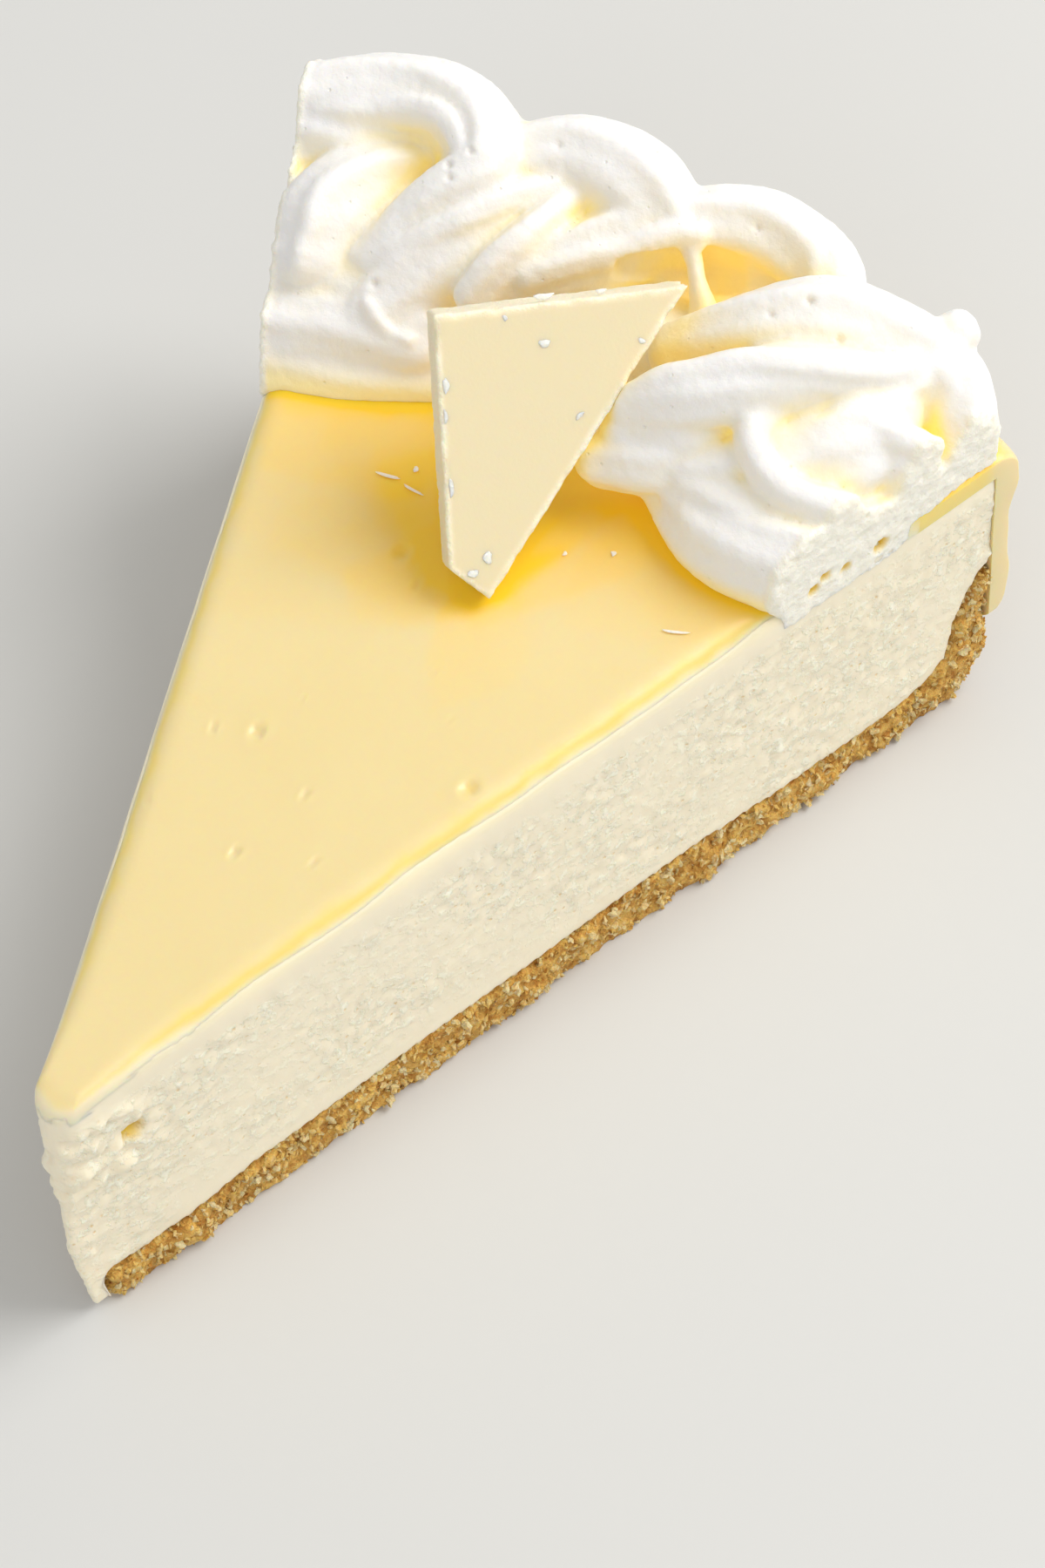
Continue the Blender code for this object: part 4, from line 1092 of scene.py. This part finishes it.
def cream_material():
    material, tree, shader = soft_food("whipped_cream_look", CREAM_COLOUR, 0.45, 0.65, 1.0, CREAMY_TINT)
    cut = read_mask(tree, "cut")
    fold = calculate(tree, "MULTIPLY", read_mask(tree, "fold"), 0.8)
    warm_shade = calculate(tree, "MAXIMUM", read_mask(tree, "shade"), fold)
    golden = calculate(tree, "MULTIPLY", warm_shade, calculate(tree, "ADD", warm_shade, GOLD_START))
    body = mix_colour(tree, cut, CREAM_COLOUR, CREAM_CUT_LIGHTENED)
    body = mix_colour(tree, golden, body, CREAM_FOLD_SHADE)
    body = mix_colour(tree, read_mask(tree, "hole"), body, HOLE_GOLD)
    tree.links.new(body, shader.inputs["Base Color"])
    # Painted glow: an emission, strongest where the painted shade is deepest.
    glow = mix_colour(tree, calculate(tree, "MULTIPLY", warm_shade, warm_shade), (0.0, 0.0, 0.0), CREAM_GLOW)
    tree.links.new(glow, shader.inputs["Emission Color"])
    shader.inputs["Emission Strength"].default_value = 1.0
    relief = calculate(tree, "MULTIPLY", grain(tree, 0.8, 1.6), calculate(tree, "ADD", cut, 0.6))
    raise_surface(tree, shader, calculate(tree, "SUBTRACT", relief, air_pits(tree, 1.6, 0.2, 0.4)), 0.12)
    return material


dress(cream, cream_material())

# %% [markdown]
# ## The white chocolate
# A broken piece of bar has flat faces, but its edges are scuffed white and slightly chipped.
# The prism is remeshed finely enough to hold the chips, and every vertex learns how far it is
# from the nearest edge, so that the material can whiten the edges alone.

# %% Break the piece
SHARD_FACE = 0.28
shard = baked(shard_block("white_chocolate_piece", 0.0), "REMESH", mode="VOXEL", voxel_size=SHARD_FACE * MM)
baked(shard, "SMOOTH", factor=0.5, iterations=2)


def shard_places(points):
    """Each point as along, rise and depth on the piece."""
    local = points - np.array(SHARD_CORNER)
    return local @ np.array(SHARD_ALONG), local @ np.array(SHARD_UP), -(local @ np.array(SHARD_FACING))


def scuff(piece):
    points = read_points(piece)
    normals = read_normals(piece)
    along, rise, depth = shard_places(points)
    inside = np.full(len(points), 99.0)
    middle = np.mean(SHARD_OUTLINE, axis=0)
    for (a0, b0), (a1, b1) in zip(SHARD_OUTLINE, SHARD_OUTLINE[1:] + SHARD_OUTLINE[:1]):
        across = np.array([b0 - b1, a1 - a0]) / math.hypot(a1 - a0, b1 - b0)
        side = (along - a0) * across[0] + (rise - b0) * across[1]
        sign = np.sign((middle[0] - a0) * across[0] + (middle[1] - b0) * across[1])
        inside = np.minimum(inside, side * sign)
    face = np.minimum(depth, SHARD_THICK - depth)
    edge = fade(0.1, 0.9, np.maximum(inside, face))
    broken = fade(0.2, 0.6, inside)
    chips = np.clip(uneven(points, 2.2, 41.0) - 0.15, 0.0, 1.0) * edge
    push = broken * (0.10 * uneven(points, 2.4, 42.0) + 0.05 * uneven(points, 0.8, 43.0)) - 0.5 * chips
    points += normals * push[:, None]
    write_points(piece, points)
    write_mask(piece, "edge", edge)
    write_mask(piece, "broken", broken)


scuff(shard)
print("chocolate piece", len(shard.data.polygons), "faces")

# %% White chocolate material
CHOCOLATE = (0.81, 0.715, 0.475)
SCUFFED = (0.95, 0.88, 0.69)
CHIP_COLOUR = (0.98, 0.93, 0.78)


def chocolate_material():
    material, tree, shader = soft_food("white_chocolate_look", CHOCOLATE, 0.42, 0.7, 1.2, (1.0, 0.7, 0.35))
    broken = read_mask(tree, "broken")
    patches = calculate(tree, "ADD", grain(tree, 2.5, 3.0), 0.35)
    worn = calculate(tree, "MULTIPLY", read_mask(tree, "edge"), patches)
    white = calculate(tree, "MAXIMUM", worn, calculate(tree, "MULTIPLY", broken, 0.55))
    tree.links.new(mix_colour(tree, white, CHOCOLATE, SCUFFED), shader.inputs["Base Color"])
    relief = calculate(tree, "MULTIPLY", grain(tree, 0.4, 1.8), calculate(tree, "ADD", broken, 0.1))
    raise_surface(tree, shader, relief, 0.12)
    return material


dress(shard, chocolate_material())

# %% [markdown]
# ## Chips and slivers
# Breaking chocolate leaves crumbs and thin shavings on everything near. Each is a small lump,
# stretched and bent a little; all of them are one mesh, because they share one finish.

# %% Places of the chips
# On the icing: x and y in mm from the cake's middle, length, width and the way it points.
ICING_CHIPS = [(76.2, 11.2, 2.6, 0.35, -78.0), (76.0, 8.2, 2.4, 0.3, -92.0), (74.6, -22.0, 2.6, 0.3, -68.0),
               (78.2, 9.3, 0.7, 0.5, 20.0), (79.3, -12.4, 0.6, 0.5, 50.0), (77.0, -8.4, 0.5, 0.4, 10.0)]
# On the chocolate: along its top edge, rise from it, length and width.
SHARD_CHIPS = [(10.0, -3.8, 1.1, 0.7), (6.6, -1.0, 0.6, 0.4), (12.7, -10.8, 1.0, 0.4),
               (19.1, -4.6, 0.7, 0.5), (10.4, 0.5, 1.8, 0.6), (15.7, 0.4, 1.0, 0.4),
               (0.6, -6.6, 1.4, 0.6), (0.3, -9.4, 1.3, 0.4), (0.2, -16.0, 1.8, 0.4),
               (2.9, -23.0, 1.2, 0.8), (1.4, -24.4, 1.1, 0.7)]
CHIP_TURN = 1.9


def chip(place, along, across, up, length, width, seed):
    """Points and faces of one small bent lump."""
    scratch = bmesh.new()
    bmesh.ops.create_icosphere(scratch, subdivisions=3, radius=1.0)
    points = []
    for vertex in scratch.verts:
        x, y, z = vertex.co * (1.0 + 0.35 * noise.noise(vertex.co * 1.3 + Vector((seed, 0.0, 0.0))))
        aside = y * 0.5 * width + 0.25 * width * x * x
        points.append(place + along * x * 0.5 * length + across * aside + up * z * 0.16 * width)
    faces = [[vertex.index for vertex in face.verts] for face in scratch.faces]
    scratch.free()
    return points, faces


def all_chips():
    lumps = []
    for i, (x, y, length, width, turn) in enumerate(ICING_CHIPS):
        along = Vector((math.cos(math.radians(turn)), math.sin(math.radians(turn)), 0.0))
        up = Vector((0.0, 0.0, 1.0))
        lumps.append((Vector((x, y, ICING_TOP + 0.15)), along, up.cross(along), up, length, width, 3.0 * i))
    for i, (along, rise, length, width) in enumerate(SHARD_CHIPS):
        place = SHARD_CORNER + SHARD_ALONG * along + SHARD_UP * rise
        way = SHARD_ALONG * math.cos(CHIP_TURN * i) + SHARD_UP * math.sin(CHIP_TURN * i)
        if min(abs(along), abs(rise)) < 1.0:
            way = SHARD_ALONG if abs(rise) < 1.0 else SHARD_UP
        lumps.append((place, way, SHARD_FACING.cross(way), SHARD_FACING, length, width, 40.0 + 3.0 * i))
    return joined("chocolate_chips", [chip(*lump) for lump in lumps])


chips = all_chips()
print("chips", len(chips.data.polygons), "faces")


def chip_material():
    material, tree, shader = soft_food("chocolate_chips_look", CHIP_COLOUR, 0.42, 0.6, 0.6, (1.0, 0.8, 0.5))
    raise_surface(tree, shader, grain(tree, 0.4, 1.6), 0.08)
    return material


dress(chips, chip_material())

# %% [markdown]
# ## Warm shades
# Where cream, icing and chocolate lie close together, light bounces between them and comes
# out golden; these shades are painted into the colours. How closed in a place is doesn't
# depend on where one looks from: some rays are sent out from each vertex, and the share that
# hits something nearby becomes a mask. On the icing, rays towards the large light add its
# cast shadow, painted as well.

# %% Rays from every vertex
SHADE_RAYS = 12
SHADE_REACH = 14.0
WINDOW_RAYS = 8
WINDOW_AZIMUTH = -42.0
WINDOW_RISE = 48.0
WINDOW_SPREAD = 0.32
RAY_START = 0.15


def ray_fan(count):
    """Directions around +Z, closer together near it."""
    fan = []
    for i in range(count):
        rise = math.sqrt(1.0 - (i + 0.5) / count)
        turn = i * math.pi * (3.0 - math.sqrt(5.0))
        flat = math.sqrt(1.0 - rise * rise)
        fan.append((flat * math.cos(turn), flat * math.sin(turn), rise))
    return np.array(fan)


def from_angles(azimuth, rise):
    """Direction from the slice to a place that far round and that high, in degrees."""
    turn, tilt = math.radians(azimuth), math.radians(rise)
    return Vector((math.cos(tilt) * math.cos(turn), math.cos(tilt) * math.sin(turn), math.sin(tilt)))


def window_rays():
    """Directions to places on the large light."""
    middle = from_angles(WINDOW_AZIMUTH, WINDOW_RISE)
    turned = middle.to_track_quat("Z", "Y").to_matrix()
    rays = []
    for k in range(WINDOW_RAYS):
        turn = math.tau * k / WINDOW_RAYS
        aside = turned @ Vector((math.cos(turn), math.sin(turn), 0.0))
        rays.append(middle + aside * WINDOW_SPREAD * (0.4 + 0.6 * (k % 2)))
    return rays


def shade_mask(piece, tree, chosen, window_share):
    """Share of the rays from each chosen vertex that hit something nearby, softened.

    window_share is how much a hidden window counts beside the rays all around.
    """
    points = read_points(piece)
    normals = read_normals(piece)
    fan = ray_fan(SHADE_RAYS)
    side = np.cross(normals, np.where(np.abs(normals[:, 2:]) < 0.9, [[0.0, 0.0, 1.0]], [[1.0, 0.0, 0.0]]))
    side /= np.linalg.norm(side, axis=1)[:, None]
    other = np.cross(normals, side)
    closed = np.zeros(len(points))
    start = points + normals * RAY_START
    window = window_rays() if window_share else ()
    for i in np.flatnonzero(chosen):
        rays = fan[:, :1] * side[i] + fan[:, 1:2] * other[i] + fan[:, 2:] * normals[i]
        for ray in rays:
            hit = tree.ray_cast(start[i], ray, SHADE_REACH)
            if hit[3] is not None:
                closed[i] += (1.0 - 0.6 * hit[3] / SHADE_REACH) / SHADE_RAYS
        for ray in window:
            if tree.ray_cast(start[i], ray)[3] is not None:
                closed[i] += window_share / WINDOW_RAYS
    average = neighbours(piece)
    for _ in range(4):
        closed = 0.5 * closed + 0.5 * average(closed)
    write_mask(piece, "shade", closed)
    print(piece.name, "closed in at most", round(float(closed.max()), 2))


# %% Shade the cream and the icing
def blocking_tree(pieces):
    points, faces = [], []
    for piece in pieces:
        faces += [tuple(v + len(points) for v in face.vertices) for face in piece.data.polygons]
        points += read_points(piece).tolist()
    return BVHTree.FromPolygons(points, faces)


# Share by which the large light's cast shadow on the icing is painted into its shade mask.
HIDDEN_WINDOW = 0.12
blockers = blocking_tree([cream, shard, ganache])
shade_mask(cream, blockers, read_points(cream)[:, 2] > ICING_TOP - 1.0, 0.0)
icing_points = read_points(ganache)
icing_chosen = (icing_points[:, 2] > FILLING_TOP + 1.2) & (icing_points[:, 0] > 50.0)
shade_mask(ganache, blockers, icing_chosen, HIDDEN_WINDOW)

# %% [markdown]
# ## Fitting the pieces to the frame
# Every piece rides on a body, and the solids that the pieces stand for are hidden. A cake has
# one body, so everything rides on the root.

# %% Fit the pieces
for piece, node, slot in ((filling, "filling", "cheese_filling"), (crust, "crust", "baked_crumb"),
                          (ganache, "ganache", "white_chocolate_ganache"),
                          (cream, "whipped_cream", "whipped_cream"),
                          (shard, "chocolate_shard", "white_chocolate")):
    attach(piece, "root")
    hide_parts(node)
for piece, slot in ((crumbs, "baked_crumb"), (fine_crumbs, "baked_crumb"), (chips, "white_chocolate")):
    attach(piece, "root")

# %% [markdown]
# ## Floor, light and camera
# Food is lit softly and from behind, so that it glows: one large light high behind the rim
# and to the right, and a pale room that fills the shades. The floor is plain.

# %% Floor
FLOOR_HALF = 1.5
FLOOR_COLOUR = (0.62, 0.62, 0.605, 1.0)


def build_floor():
    mesh = bpy.data.meshes.new("floor")
    corners = [(x * FLOOR_HALF, y * FLOOR_HALF, 0.0) for x, y in ((-1, -1), (1, -1), (1, 1), (-1, 1))]
    mesh.from_pydata(corners, [], [(0, 1, 2, 3)])
    floor = bpy.data.objects.new("floor", mesh)
    bpy.context.scene.collection.objects.link(floor)
    material = bpy.data.materials.new("pale_floor")
    material.use_nodes = True
    shader = material.node_tree.nodes["Principled BSDF"]
    shader.inputs["Base Color"].default_value = FLOOR_COLOUR
    shader.inputs["Roughness"].default_value = 0.6
    mesh.materials.append(material)
    return floor


build_floor()


# %% Lights
def area_light(name, azimuth, elevation, distance, size, power, colour):
    """Square light that looks at the slice from the given direction."""
    light = bpy.data.lights.new(name, "AREA")
    light.size = size
    light.energy = power
    light.color = colour
    lamp = bpy.data.objects.new(name, light)
    away = from_angles(azimuth, elevation)
    target = Vector((0.0, 0.0, 0.02))
    turn = away.to_track_quat("Z", "Y").to_matrix().to_4x4()
    lamp.matrix_world = Matrix.Translation(target + away * distance) @ turn
    bpy.context.scene.collection.objects.link(lamp)


ROOM_LIGHT = 0.62
area_light("window", WINDOW_AZIMUTH, WINDOW_RISE, 1.1, 0.7, 10.0, (1.0, 0.985, 0.96))
area_light("reflector", -160.0, 32.0, 1.3, 1.0, 2.2, (1.0, 0.99, 0.97))
world = bpy.data.worlds.new("room")
world.use_nodes = True
backdrop = world.node_tree.nodes["Background"]
backdrop.inputs["Color"].default_value = (1.0, 0.995, 0.985, 1.0)
backdrop.inputs["Strength"].default_value = ROOM_LIGHT
bpy.context.scene.world = world
bpy.context.scene.view_settings.view_transform = "Standard"

# %% Camera
CAMERA_PLACE = Vector((-80.3, -129.6, 323.3))
CAMERA_RIGHT = Vector((0.5374, -0.8400, -0.0746))
CAMERA_UP = Vector((0.7420, 0.4290, 0.5150))
CAMERA_FORWARD = Vector((0.4006, 0.3321, -0.8539))
CAMERA_LENS = 84.57


def build_camera():
    data = bpy.data.cameras.new("camera")
    data.lens = CAMERA_LENS
    data.sensor_width = 36.0
    data.clip_start = 0.01
    camera = bpy.data.objects.new("camera", data)
    turn = Matrix((CAMERA_RIGHT, CAMERA_UP, -CAMERA_FORWARD)).transposed().to_4x4()
    place = (CAMERA_PLACE + Vector(CAKE_MIDDLE)) * MM
    camera.matrix_world = Matrix.Translation(place) @ turn
    bpy.context.scene.collection.objects.link(camera)
    bpy.context.scene.camera = camera


build_camera()
